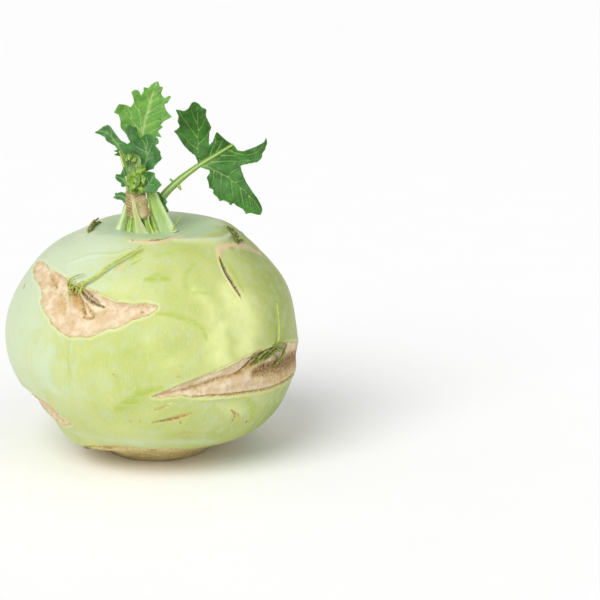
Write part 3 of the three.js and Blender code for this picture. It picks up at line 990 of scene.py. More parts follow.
SKIN_MARKS = (
    Mark([(2.6, 57.2), (9, 58), (15.6, 59)], 1.15, -0.25, BROWN, 0.85),
    Mark([(9, 58.4), (14, 59.2), (18, 60)], 1.7, -0.1, OCHRE),
    Mark([(3.6, 62.5), (9.7, 64)], 1.1, -0.1, BROWN, 0.55),
    Mark([(8, 63.6), (10.4, 65)], 1.2, -0.1, PALE, 0.7),
    Mark([(-7.4, 57.3), (-5.8, 57.7)], 1.3, 0, OCHRE, 0.75),
    Mark([(-2.6, 57.8)], 1.1, 0, OCHRE, 0.6),
    Mark([(13.5, 57), (13.9, 56)], 0.9, 0, BROWN, 0.7),
    Mark([(36, 59), (38.6, 56.4), (37.6, 53.6)], 1.2, -0.1, BROWN, 0.75),
    Mark([(39.6, 57), (41, 55)], 1.0, -0.1, BROWN, 0.6),
    Mark([(30, 56), (33, 55.4)], 2.0, 0, OCHRE, 0.4),
    Mark([(46.6, 52), (46.9, 51.4)], 1.0, 0, OLIVE, 0.9),
    Mark([(12, 51.2), (16, 51.8), (20, 51.4)], 1.6, 0, OCHRE, 0.5),
    Mark([(16, 48.6), (19, 48.8)], 1.2, 0, OCHRE, 0.4),
    Mark([(-10.2, 75.8), (-9, 75)], 1.0, 0, BROWN, 0.6),
    Mark([(13.2, 74.6), (15.4, 74)], 1.0, 0, OCHRE, 0.7),
    Mark([(-74.4, 99.4), (-72, 98)], 1.1, 0, BROWN, 0.75),
    Mark([(-11, 62.4), (-5, 66), (1, 69.4), (7, 70.6)], 3.4, 0, GREEN),
    Mark([(0, 108.6), (6, 109.4), (11, 108.8)], 2.8, -0.05, GREEN),
    Mark([(44, 61.6), (48.6, 57), (49.2, 51.4)], 3.2, 0, GREEN),
    Mark([(-9, 117.4), (-3.6, 121.6)], 2.3, 0, GREEN, 0.85),
    Mark([(2, 96.2), (9, 96.4), (17, 94.4), (24, 90.6), (26, 86.4)], 2.2, -0.15, GREEN, 0.75),
    Mark([(26, 114.6), (19, 110), (20, 104), (30, 102.6)], 2.4, -0.05, GREEN, 0.55),
    Mark([(6, 119), (16, 121), (30, 122)], 6.0, 0.1, GREEN, 0.5),
    Mark([(-28.2, 86.6), (-28.6, 79), (-27.4, 72)], 0.9, -0.1, GREEN, 0.6),
    Mark([(-8, 84), (6, 82), (16, 86)], 8.0, 0, GREEN, 0.35),
    Mark([(38, 102), (44, 92), (43, 82)], 13.0, 0.3, PALE),
    Mark([(22, 104), (28, 98), (30, 88)], 7.0, 0, PALE, 0.5),
    Mark([(30, 62), (42, 57)], 5.0, 0, PALE, 0.5),
    # White strokes on the left side: real bloom, with painted light from the left.
    Mark([(-37, 82), (-42, 72), (-36, 66)], 6.0, 0, WHITE, 0.8),
    Mark([(-24, 80), (-27, 72), (-22, 66)], 4.0, 0, WHITE, 0.4),
    Mark([(-44, 46), (-30, 46.5), (-10, 47), (14, 46.5), (34, 43)], 4.6, 0, WHITE, 0.6),
    Mark([(-40, 120), (-24, 121), (-10, 123)], 6.5, 0, WHITE, 0.55),
    # Painted highlight along the raised front rim of the crown.
    Mark([(20, 127.6), (40, 126), (56, 124), (72, 124.6)], 2.8, 0.7, WHITE, 0.95),
    # Painted light on the back rim of the crown, lighter than the shaded front of the dish.
    Mark([(96, 130), (140, 129), (180, 130), (-130, 128)], 8.0, 0, WHITE, 0.9),
    Mark([(-47, 112.6), (-34, 117.6), (-20, 119), (-12, 122)], 1.6, 0.3, WHITE, 0.5),
    Mark([(3, 88), (8, 80), (20, 80)], 9.0, 0, PALE, 0.4),
    Mark([(32, 90), (30, 82), (34, 76)], 8.0, 0, PALE, 0.9),
    Mark([(4, 76), (16, 78.6), (26, 82)], 1.4, 0, GREEN, 0.3),
)

ROOT_MARKS = (
    Mark([(-41, 38.6), (-37, 38.8)], 1.5, 0.5, OLIVE, 0.95),
    Mark([(-38, 39.4), (-32, 40.8), (-24, 41), (-16, 41.4)], 1.2, 0.15, BROWN, 0.65),
    Mark([(-25, 40.2), (-20, 40.4)], 0.9, 0, OLIVE, 0.6),
    Mark([(-1, 39), (3, 38.8)], 1.6, 0, OLIVE, 0.75),
    Mark([(-8, 41.2), (8, 41)], 0.7, 0.1, OCHRE, 0.6),
    Mark([(14, 39.6), (26, 38), (40, 33)], 0.9, 0.1, BROWN, 0.45),
    Mark([(120, 32), (150, 32.4), (176, 31.6)], 0.9, 0.2, BROWN, 0.5),
    Mark([(58, 27), (64, 24)], 1.2, -0.4, BROWN, 0.6),
)

BACK_SCARS = (
    Scar(152, 99, eyelid(27, 5, 8), 1.3),
    Scar(-142, 76, eyelid(31, 6, 8), 1.4),
    Scar(122, 122, eyelid(11, 2, 3), 0.8),
    Scar(-152, 121, eyelid(12, 1.5, 2.5), 0.7),
    Scar(118, 50, eyelid(22, 4, 5), 1.0),
)


@dataclass(frozen=True)
class Flat:
    """A broad place where the flesh stands lower than its outline, or higher if its depth is negative.

    Attributes:
        azimuth, arc: its middle.
        wide: its reach round the corm, in degrees.
        high: its reach over the skin, in millimetres.
        depth: how much lower its middle is.
    """

    azimuth: float
    arc: float
    wide: float
    high: float
    depth: float


FLATS = (
    Flat(-80, 49, 40, 11, 3.1), Flat(88, 110, 42, 11, 2),
    Flat(-96, 123.5, 34, 5, 1.8), Flat(180, 129, 60, 7, -0.9),
)


@dataclass
class Corm:
    """The swollen stem, one solid from its cut root end to its crown.

    Attributes:
        root_end: radius of the flat disc it stands on.
        bevel_arc: arc at which the trimmed bevel meets the skin.
        outline: half of its outline, as radius and height, from the rim of the flat disc up to the crown.
        columns, rows: coarse mesh divisions round it and over its arc.
        front_share: how much closer together the columns are at the front.
        finest: how often the mesh is halved at a crack.
        narrow: the width below which a mark needs each halving.
        reach: how far outside a scar its edge still shapes the skin.
        scars, marks: what is on it.
        side, side_arcs: its outline as close points, and their arcs.
    """

    root_end: float = 17.5
    bevel_arc: float = 32.0
    outline: Sequence[Point2] = (
        (17.5, 0), (21.5, 2.4), (25.6, 5), (29.2, 7.2), (31.4, 8.1), (35, 9.2), (39, 11.6),
        (43.2, 15.6), (47, 21.6),
        (51.4, 33), (52.3, 45), (49.6, 58), (42.6, 70), (34.5, 77.3), (26.5, 81.6), (18, 82.4),
        (9, 80.9), (0, 80.2),
    )
    columns: int = 270
    rows: int = 140
    front_share: float = 0.35
    finest: int = 2
    narrow: Sequence[float] = (3.6, 1.7)
    reach: float = 4.0
    scars: Sequence[Scar] = (FRONT_LEFT_SCAR, LOWER_RIGHT_SCAR, LOW_LEFT_SCAR, *BACK_SCARS)
    marks: Sequence[Mark] = (*CROWN_MARKS, *SKIN_MARKS, *ROOT_MARKS)
    side: Array = field(init=False)
    side_arcs: Array = field(init=False)

    def __post_init__(self) -> None:
        """Walk along the outline once, so that an arc gives a radius and a height."""
        edge = curve_through(self.outline, 0.05)
        self.side = np.vstack([[0.0, 0.0], edge])
        self.side_arcs = np.concatenate([[0.0], self.root_end + walked(edge)])

    @property
    def length(self) -> float:
        """The arc from the middle of the root end to the middle of the crown."""
        return float(self.side_arcs[-1])

    def at(self, arc: Array) -> tuple[Array, Array]:
        """Radius and height at an arc."""
        radius, height = (np.interp(arc, self.side_arcs, column) for column in self.side.T)
        return radius, height

    @staticmethod
    def lean(height: Array) -> Array:
        """How far the flesh stands off the axis: the middle bulges a little to -X."""
        return -2.0 * hump(height, 48.0, 18.0)

    def swelling(self, azimuth: Array, arc: Array) -> Array:
        """Low, broad swellings of the flesh, and its flat places.

        Args:
            azimuth, arc: the places.

        Returns:
            How far the flesh stands off its outline.
        """
        turn = np.radians(azimuth)
        share = np.sin(np.pi * ramp(arc, self.bevel_arc, self.length - 8.0))
        height = share * (0.35 * np.cos(3 * turn + 0.6) + 0.3 * np.sin(2 * turn + arc / 16) - 0.3)
        for flat in FLATS:
            aside = (1 - np.cos(turn - math.radians(flat.azimuth))) / (1 - math.cos(math.radians(flat.wide)))
            height -= flat.depth * np.exp(-aside) * hump(arc, flat.arc, flat.high)
        return height

    def trim_tilt(self, azimuth: Array, arc: Array) -> Array:
        """Tilt the rim of the trimmed root end.

        Args:
            azimuth, arc: the places.

        Returns:
            How much lower the skin is than at the front.
        """
        turn = np.radians(azimuth)
        near = hump(arc, self.bevel_arc, 7.0) * ramp(arc, self.root_end, 23.0)
        return near * (1.9 - 1.9 * np.cos(turn) - 0.9 * np.sin(turn))

    def over_skin(self, azimuth: float, arc: float, lift: float) -> Point3:
        """Find a point above the skin, or above the bottom of a scar if there is one.

        Args:
            azimuth, arc: the places.
            lift: how far above.

        Returns:
            The point.
        """
        spot, height = np.array([azimuth]), np.array([arc])
        sunk = sum(self.scar_shape(scar, spot, height)[0][0] for scar in self.scars)
        return tuple(self.shape(spot, height, np.array([lift + sunk]))[0])

    def shape(self, azimuth: Array, arc: Array, relief: Array) -> Array:
        """Where the skin is.

        Args:
            azimuth: degrees from the front.
            arc: millimetres over the skin.
            relief: how far it stands off the smooth corm.

        Returns:
            One place in millimetres for each.
        """
        radius, height = self.at(arc)
        step = 0.6
        radius_up, height_up = self.at(np.minimum(arc + step, self.length))
        radius_down, height_down = self.at(np.maximum(arc - step, 0.0))
        outward = np.stack([height_up - height_down, radius_down - radius_up], axis=1)
        outward /= np.linalg.norm(outward, axis=1)[:, None]
        off = relief + self.swelling(azimuth, arc)
        off = off * ramp(arc, self.root_end - 1.0, self.root_end + 2.0)
        turn = np.radians(azimuth)
        reach = radius + outward[:, 0] * off * ramp(self.length - arc, 0.0, 2.0)
        return np.stack(
            [
                reach * np.sin(turn) + self.lean(height),
                -reach * np.cos(turn),
                height + outward[:, 1] * off - self.trim_tilt(azimuth, arc),
            ],
            axis=1,
        )

    def flat(self, azimuth: Array, arc: Array, middle: Point2) -> Array:
        """Measure over the skin from a place on it.

        Args:
            azimuth, arc: the places.
            middle: the azimuth and arc measured from.

        Returns:
            Across and up, in millimetres.
        """
        turn = (azimuth - middle[0] + 180.0) % 360.0 - 180.0
        radius, _ = self.at(np.array([middle[1]]))
        return np.stack([np.radians(turn) * radius[0], arc - middle[1]], axis=1)

    def mark_share(self, mark: Mark, azimuth: Array, arc: Array, margin: float = 0.0) -> Array:
        """How much of a mark is at each place.

        Args:
            mark: the mark.
            azimuth, arc: the places.
            margin: how much to widen the mark by.

        Returns:
            1 on its path, falling evenly to 0 at its edge.
        """
        middle = mark.path[len(mark.path) // 2]
        path = curve_through(self.flat(*np.array(mark.path, float).T, middle), 0.8)
        places = self.flat(azimuth, arc, middle)
        reach = mark.width + margin
        near = np.all((places > path.min(axis=0) - reach) & (places < path.max(axis=0) + reach), axis=1)
        share = np.zeros(len(arc))
        distance, along = distance_to_path(places[near], path)
        taper = 1.0 if len(path) == 1 else 0.4 + 0.6 * np.sin(np.pi * np.clip(along, 0.07, 0.93))
        share[near] = np.clip(1.0 - distance / (mark.width * taper + margin), 0.0, 1.0)
        return share

    def into_scar(self, scar: Scar, azimuth: Array, arc: Array) -> Array:
        """How far into a scar each place is.

        Args:
            scar: the scar.
            azimuth, arc: the places.

        Returns:
            Distance to its edge: positive inside it, negative outside.
        """
        outline = curve_through(scar.outline, 1.2, closed=True)
        places = self.flat(azimuth, arc, (scar.azimuth, scar.arc))
        low, high = outline.min(axis=0) - self.reach, outline.max(axis=0) + self.reach
        near = np.all((places > low) & (places < high), axis=1)
        into = np.full(len(arc), OUTSIDE)
        if near.any():
            ragged = np.stack([lumps(places_3d(places[near]), 2.2, seed) for seed in (1, 2)], axis=1)
            into[near] = depth_inside(places[near] + 0.3 * ragged, outline)
        return into

    def scar_shape(self, scar: Scar, azimuth: Array, arc: Array) -> tuple[Array, Array, Array]:
        """How a scar shapes the skin.

        Args:
            scar: the scar.
            azimuth, arc: the places.

        Returns:
            Its relief, the distance into it, and the closeness to the middle of its folds.
        """
        into = self.into_scar(scar, azimuth, arc)
        relief = -scar.depth * ramp(into, -0.2, 1.4) - 0.35 * scar.depth * ramp(into, 1.0, 6.0)
        relief += 0.25 * hump(into, -0.9, 0.8)
        bundle = self.flat(azimuth, arc, scar.bundle or (scar.azimuth, scar.arc + 3.0))
        away = np.hypot(*bundle.T)
        turn = np.arctan2(bundle[:, 0], -bundle[:, 1])
        wave = lumps(places_3d(bundle), 5.0, 31)
        broad = np.cos(7.0 * turn + 2.2 * wave) * hump(away, 6.0, 6.5)
        fine = np.cos(15.0 * turn - 2.0 * wave) * hump(away, 4.0, 4.0)
        relief += 0.34 * (broad + 0.5 * fine) * ramp(into, 0.3, 2.0)
        return relief, into, np.exp(-away / 5.0) * (into > -1.0)

    def old_scar_marks(self, scar: Scar, seed: int) -> list[Mark]:
        """The marks on a scar.

        Args:
            scar: the scar.
            seed: a different spread for each seed.

        Returns:
            Its own marks, or the usual folds, stains and cracks if it has none.
        """
        if scar.marks:
            return list(scar.marks)
        draw = np.random.default_rng(seed)
        radius, _ = self.at(np.array([scar.arc]))
        width = math.degrees(max(x for x, _ in scar.outline) / radius[0])
        drop = -min(y for _, y in scar.outline)
        side, up = scar.azimuth, scar.arc
        ridge = [(side + k * 0.6 * width, up - 0.1 * drop * (1 - 2 * k * k)) for k in (-1, 0, 1)]
        crack = [(side + k * 0.8 * width, up - 0.4 * drop * (2.4 - 1.6 * k * k)) for k in (-1, 0, 1)]
        marks = [Mark(ridge, 0.2 * drop, 0.5), Mark(crack, 0.7, -0.5, BROWN, 0.6)]
        for share in draw.uniform(-0.5, 0.5, 6):
            start = (side + 0.6 * share * width, up + 0.35 * drop)
            end = (start[0] + share * 0.5 * width, start[1] - draw.uniform(0.4, 0.9) * drop)
            tint = draw.choice([OCHRE, BROWN, OLIVE])
            wide, relief = draw.uniform(0.7, 1.8), draw.uniform(-0.7, -0.2)
            marks.append(Mark([start, end], wide, relief, tint, draw.uniform(0.4, 0.8)))
        return marks

    def all_marks(self) -> list[Mark]:
        """Every mark on the corm: its own, then those of each scar in turn."""
        scarred = [self.old_scar_marks(scar, 40 + number) for number, scar in enumerate(self.scars)]
        return [*self.marks, *(mark for marks in scarred for mark in marks)]

    def fields(self, azimuth: Array, arc: Array, smooth: Array) -> tuple[Array, dict[str, Array]]:
        """Work out the relief and what the skin's material reads.

        Args:
            azimuth: degrees from the front.
            arc: millimetres over the skin.
            smooth: the places on the smooth corm, for noise.

        Returns:
            The relief in millimetres, and the named fields.
        """
        relief, named = self.scars_and_marks(azimuth, arc, smooth)
        named["root_cut"] = self.cut_root(azimuth, arc, smooth, relief)
        turn = np.radians(azimuth)
        relief -= 1.3 * hump(arc, 138.0, 5.5) * ramp(np.cos(turn - 1.6), -0.2, 0.6)
        named["ring"] = np.cos(arc * 2.4 + 1.5 * lumps(smooth, 3.0, 12)) * (arc < self.root_end)
        return relief, named | self.washes(turn, arc, smooth)

    def scars_and_marks(self, azimuth: Array, arc: Array, smooth: Array) -> tuple[Array, dict[str, Array]]:
        """Work out what the scars and marks do to the skin.

        Args:
            azimuth, arc: the places.
            smooth: the places on the smooth corm, for noise.

        Returns:
            The relief, and the named fields of stains, cork and folds.
        """
        inside = np.full(len(arc), OUTSIDE)
        bundle = np.zeros(len(arc))
        relief = 0.07 * lumps(smooth, 6.0, 3) + 0.25 * lumps(smooth, 17.0, 4)
        for scar in self.scars:
            sunk, into, close = self.scar_shape(scar, azimuth, arc)
            relief += sunk
            inside = np.maximum(inside, into)
            bundle = np.maximum(bundle, close)
        cork = ramp(inside, 0.0, 1.2)
        relief += cork * (0.1 * lumps(smooth, 0.9, 5) + 0.16 * lumps(smooth, 2.6, 6))
        tints = {tint: np.zeros(len(arc)) for tint in Tint}
        for mark in self.all_marks():
            share = self.mark_share(mark, azimuth, arc)
            relief += mark.relief * share * share * (3 - 2 * share)
            tints[mark.tint] = np.maximum(tints[mark.tint], mark.strength * share)
        named = {tint.value: values for tint, values in tints.items() if tint is not Tint.NONE}
        return relief, named | {"scar": inside, "bundle": bundle}

    def cut_root(self, azimuth: Array, arc: Array, smooth: Array, relief: Array) -> Array:
        """Trim the root end along a wavy rim, with facets beyond it.

        Args:
            azimuth, arc: the places.
            smooth: the places on the smooth corm, for noise.
            relief: what the cut is added to.

        Returns:
            How far beyond the rim each place is.
        """
        turn = np.radians(azimuth)
        rim = self.bevel_arc + 0.5 * lumps(smooth, 6.0, 7)
        rim += 10.5 * np.exp((np.cos(turn + 0.17) - 1) / 0.45)
        rim -= 5.0 * hump(azimuth, 60.0, 22.0)
        relief -= 0.5 * ramp(rim - arc, -0.3, 0.7)
        relief += 1.6 * np.exp((np.cos(turn + 0.75) - 1) / 0.1) * hump(arc, 38.5, 3.0)
        facets = 0.35 * np.abs(np.sin(turn * 3.5 + 0.4)) + 0.16 * lumps(smooth, 1.6, 8)
        relief += ramp(rim - arc, 0.0, 2.0) * (facets - 0.3)
        return rim - arc

    def washes(self, turn: Array, arc: Array, smooth: Array) -> dict[str, Array]:
        """Lay the broad changes of colour over the skin.

        Args:
            turn: azimuths in radians.
            arc: millimetres over the skin.
            smooth: the places on the smooth corm, for noise.

        Returns:
            The bloom on the left and above, laid on heavier on the left partly as painted light; the
            grey-green of the dish; and painted shade on the right flank and low on the corm.
        """
        left = -np.sin(turn)
        # Real bloom, laid on heavier on the left side partly as painted light from that side.
        bloom = 0.6 * ramp(left, -0.35, 0.8) * ramp(arc, 84, 118)
        bloom += 0.65 * ramp(left, 0.15, 0.95) * ramp(arc, 44.0, 72.0) + 0.15
        bloom += 0.16 * lumps(smooth, 11.0, 9)
        dish = ramp(arc + 2.2 * lumps(smooth, 6.0, 10), 127.0, 134.0)
        # Painted shade, darkest on the right flank and low on the corm.
        shade = ramp(np.sin(turn), 0.7, 1.0) * np.maximum(np.cos(turn - 0.8), 0.0) * (1.0 - dish)
        shade += 0.45 * ramp(arc, 64.0, 46.0) * ramp(np.sin(turn), -0.3, 0.6)
        return {"bloom": bloom, "dish": dish, "shade": shade}

    def busy(self, azimuth: Array, arc: Array, level: int) -> Array:
        """Where the mesh is halved: over scars and marks first, then along edges and cracks.

        Args:
            azimuth, arc: the places.
            level: 0 for the first halving, then 1.

        Returns:
            True for the places between which it is halved.
        """
        found = np.zeros(len(arc), bool)
        for scar in self.scars:
            into = self.into_scar(scar, azimuth, arc)
            found |= into > -1.6 if level == 0 else np.abs(into - 0.3) < 1.0
        for mark in self.all_marks():
            if mark.width < self.narrow[level]:
                found |= self.mark_share(mark, azimuth, arc, 0.9 / (level + 1)) > 0.0
        return found

    def net(self) -> tuple[Array, Array, list[Sequence[int]]]:
        """Spread mesh points over the skin, closer together where there is more to show.

        Returns:
            The azimuth and arc of every point, and the faces between them.
        """
        even = np.linspace(-180.0, 180.0, self.columns + 1)
        column = even - np.degrees(self.front_share * np.sin(np.radians(even)))
        row = np.linspace(0.0, self.length, self.rows + 1)
        wide = self.columns + 1
        spots = places_3d(np.stack([np.tile(column, self.rows + 1), np.repeat(row, wide)], axis=1))
        quads = [
            (r * wide + c, r * wide + c + 1, (r + 1) * wide + c + 1, (r + 1) * wide + c)
            for r in range(self.rows)
            for c in range(self.columns)
        ]
        flat_mesh = bpy.data.meshes.new("corm_net")
        flat_mesh.from_pydata(spots.tolist(), [], quads)
        shaper = bmesh.new()
        shaper.from_mesh(flat_mesh)
        for level in range(self.finest):
            shaper.verts.index_update()
            places = np.array([vert.co[:2] for vert in shaper.verts])
            found = self.busy(places[:, 0], places[:, 1], level)
            edges = [edge for edge in shaper.edges if all(found[vert.index] for vert in edge.verts)]
            bmesh.ops.subdivide_edges(shaper, edges=edges, cuts=1, use_grid_fill=True)
        many = [face for face in shaper.faces if len(face.verts) > 4]
        bmesh.ops.triangulate(shaper, faces=many)
        shaper.verts.index_update()
        places = np.array([vert.co[:2] for vert in shaper.verts])
        faces = [[vert.index for vert in face.verts] for face in shaper.faces]
        shaper.free()
        bpy.data.meshes.remove(flat_mesh)
        return self.closed(places, faces)

    def closed(self, places: Array, faces: list[Sequence[int]]) -> tuple[Array, Array, list[Sequence[int]]]:
        """Join the net's two sides at the back, and its first and last rows into points.

        Args:
            places: the azimuth and arc of the net's points.
            faces: the net's faces.

        Returns:
            The azimuth and arc of the points that stay, and the faces between them.
        """
        azimuth = np.where(places[:, 0] > 180.0 - TINY, -180.0, places[:, 0])
        at_end = (places[:, 1] < TINY) | (places[:, 1] > self.length - TINY)
        azimuth = np.where(at_end, 0.0, azimuth)
        keys = np.round(np.stack([azimuth, places[:, 1]], axis=1), 4)
        _, first, same = np.unique(keys, axis=0, return_index=True, return_inverse=True)
        same = same.reshape(-1)
        kept = []
        for face in faces:
            corners = list(dict.fromkeys(same[index] for index in face))
            if len(corners) > 2:
                kept.append(corners)
        return azimuth[first], places[first, 1], kept

    def build(self) -> Piece:
        """Make the corm's mesh.

        Returns:
            The corm.
        """
        azimuth, arc, faces = self.net()
        smooth = self.shape(azimuth, arc, np.zeros(len(arc)))
        relief, named = self.fields(azimuth, arc, smooth)
        return make_piece("kohlrabi_corm", self.shape(azimuth, arc, relief), faces, named)

    def dress(self, piece: Piece) -> None:
        """Give the corm its skin."""
        piece.data.materials.append(SkinFinish().material())
        place_piece(piece, Slot.SKIN, "corm")


# ---- leaves ----


@dataclass(frozen=True)
class Bend:
    """A part of a blade that curls forward beyond a line.

    Attributes:
        start: a point on the line, in the blade's plane.
        heading: which way the part lies from the line, as across and up.
        curl: how far it comes forward 10 mm beyond the line.
    """

    start: Point2
    heading: Point2
    curl: float


@dataclass(frozen=True)
class Blade:
    """A leaf blade: a thin closed shell in a plane that leans back, bent into its folds.

    Attributes:
        name: its CAD node.
        foot: where it starts.
        outline: points as across and up in its plane, from the foot.
        veins: paths in its plane, the midrib first.
        finish: its material.
        slot: its record slot.
        rib: the line of its midrib.
        fold, cup, tip: how it comes forward away from its midrib, towards its sides, and upwards.
        bends: its curled parts.
        ruffle: how much its margin waves.
        quilt: how much it bulges between its veins.
        midrib: half of the midrib's width at its foot.
        grain: distance between mesh points.
        thickness: of the shell, between its veins.
        seed: sets its waves apart from those of other blades.
    """

    name: str
    foot: Point3
    outline: Sequence[Point2]
    veins: Sequence[Sequence[Point2]]
    finish: LeafFinish | WitheredFinish
    slot: Slot = Slot.LEAF
    rib: Point2 = (0.0, 1.0)
    fold: float = 0.2
    cup: float = 0.0
    tip: float = 0.0
    bends: Sequence[Bend] = ()
    ruffle: float = 0.6
    quilt: float = 0.3
    midrib: float = 0.38
    grain: float = 0.42
    thickness: float = 0.34
    seed: int = 1

    def flat_points(self) -> tuple[Array, int, list[tuple[int, int]]]:
        """Spread points over the blade's plane.

        Returns:
            The points, how many of them are its edge, and the pairs that are joined along its veins.
        """
        edge = curve_through(self.outline, self.grain * 0.8, closed=True, roundness=0.55)
        draw = np.random.default_rng(self.seed)
        edge = edge + draw.normal(0.0, 0.035, edge.shape)
        points, pairs = [edge], []
        count = len(edge)
        taken = [np.vstack([edge, edge[:1]])]
        for vein in self.veins:
            path = curve_through(vein, self.grain * 0.8)
            path = path[depth_inside(path, edge) > 0.25 * self.grain]
            if len(path) < 2:
                continue
            pairs += [(count + i, count + i + 1) for i in range(len(path) - 1)]
            points.append(path)
            taken.append(path)
            count += len(path)
        low, high = edge.min(axis=0), edge.max(axis=0)
        rows = np.arange(low[1], high[1], self.grain * 0.87)
        grid = [
            (x + (r % 2) * self.grain / 2, y)
            for r, y in enumerate(rows)
            for x in np.arange(low[0], high[0], self.grain)
        ]
        inner = np.array(grid) + draw.normal(0.0, self.grain * 0.06, (len(grid), 2))
        free = depth_inside(inner, edge) > 0.45 * self.grain
        for path in taken[1:]:
            free &= distance_to_path(inner, path)[0] > 0.4 * self.grain
        points.append(inner[free])
        return np.vstack(points), len(edge), pairs

    def nearest_vein(self, flat: Array) -> Array:
        """Distance to the nearest vein.

        Args:
            flat: points of the blade's plane.

        Returns:
            It, in half-widths of that vein.
        """
        nearest = np.full(len(flat), 99.0)
        for number, vein in enumerate(self.veins):
            distance, along = distance_to_path(flat, curve_through(vein, 0.6))
            half_width = (self.midrib if number == 0 else 0.15) * (1.0 - 0.55 * along)
            nearest = np.minimum(nearest, distance / half_width)
        return nearest

    def forward(self, flat: Array, vein: Array, edge: Array) -> Array:
        """How far each point of the blade comes forward of its plane.

        Args:
            flat: points of the blade's plane.
            vein: distance to the nearest vein, in its half-widths.
            edge: distance to the margin.

        Returns:
            One distance for each point.
        """
        across, up = flat.T
        length = math.hypot(*self.rib)
        from_rib = (across * self.rib[1] - up * self.rib[0]) / length
        relief = self.fold * np.sqrt(from_rib**2 + 1) + self.cup * from_rib**2 + self.tip * up**2
        for bend in self.bends:
            heading = np.array(bend.heading) / math.hypot(*bend.heading)
            beyond = np.maximum(0.0, (flat - np.array(bend.start)) @ heading)
            relief += bend.curl * (beyond / 10.0) ** 2 * 10.0 / (10.0 + beyond) * 2.0
        spots = places_3d(flat)
        margin = ramp(edge, 3.0, 0.0)
        relief += self.ruffle * (0.35 + margin) * lumps(spots, 3.0, self.seed)
        relief += 0.5 * self.ruffle * margin * lumps(spots, 1.3, self.seed + 50)
        relief += self.quilt * (ramp(vein, 0.6, 6.0) - 0.5) * (0.7 + 0.3 * lumps(spots, 2.0, 9))
        return relief

    def stand(self, flat: Array, forward: Array) -> Array:
        """Turn points of the blade's plane into places.

        Args:
            flat: the points.
            forward: how far each comes forward.

        Returns:
            One place for each.
        """
        lean = math.radians(BLADE_LEAN)
        across, up = flat.T
        return np.stack(
            [
                self.foot[0] + across,
                self.foot[1] + up * math.sin(lean) - forward * math.cos(lean),
                self.foot[2] + up * math.cos(lean) + forward * math.sin(lean),
            ],
            axis=1,
        )

    def build(self) -> Piece:
        """Make the blade's mesh: a front and a back sheet joined round the edge.

        Returns:
            The blade.
        """
        flat, edge_count, pairs = self.flat_points()
        outline = flat[:edge_count]
        found = delaunay_2d_cdt([Vector(p) for p in flat], pairs, [list(range(edge_count))], 1, 1e-5)
        flat = np.array([tuple(v) for v in found[0]])
        triangles = np.array([face for face in found[2] if len(face) == 3])
        used = np.unique(triangles)
        renumber = np.full(len(flat), -1)
        renumber[used] = np.arange(len(used))
        flat, triangles = flat[used], renumber[triangles]
        edge = np.maximum(depth_inside(flat, outline), 0.0)
        vein = self.nearest_vein(flat)
        middle = self.stand(flat, self.forward(flat, vein, edge))
        corners = middle[triangles]
        turns = np.cross(corners[:, 1] - corners[:, 0], corners[:, 2] - corners[:, 0])
        normals = np.zeros_like(middle)
        for corner in range(3):
            np.add.at(normals, triangles[:, corner], turns)
        normals /= np.maximum(np.linalg.norm(normals, axis=1), 1e-9)[:, None]
        half = self.thickness / 2 * (0.35 + 0.65 * ramp(edge, 0.0, 0.7))
        rib = ramp(vein, 1.6, 0.0)
        rib_height = np.where(vein < 2.0, 0.12, 0.0) * rib
        front = middle + normals * (half + rib_height)[:, None]
        back = middle - normals * (half + 2.5 * rib_height)[:, None]
        total = len(middle)
        sides = np.sort(np.vstack([triangles[:, [0, 1]], triangles[:, [1, 2]], triangles[:, [2, 0]]]), axis=1)
        sides, counts = np.unique(sides, axis=0, return_counts=True)
        once = {tuple(side) for side, count in zip(sides, counts) if count == 1}
        faces = [tuple(t) for t in triangles] + [tuple(t[::-1] + total) for t in triangles]
        for a, b, c in triangles:
            for start, end in ((a, b), (b, c), (c, a)):
                if (min(start, end), max(start, end)) in once:
                    faces.append((end, start, start + total, end + total))
        fields = {"vein": np.tile(vein, 2), "edge": np.tile(edge, 2)}
        return make_piece("kohlrabi_" + self.name, np.vstack([front, back]), faces, fields)

    def dress(self, piece: Piece, material: Material) -> None:
        """Give the blade its material."""
        piece.data.materials.append(material)
        place_piece(piece, self.slot, self.name)


# ---- stalks and fibres ----


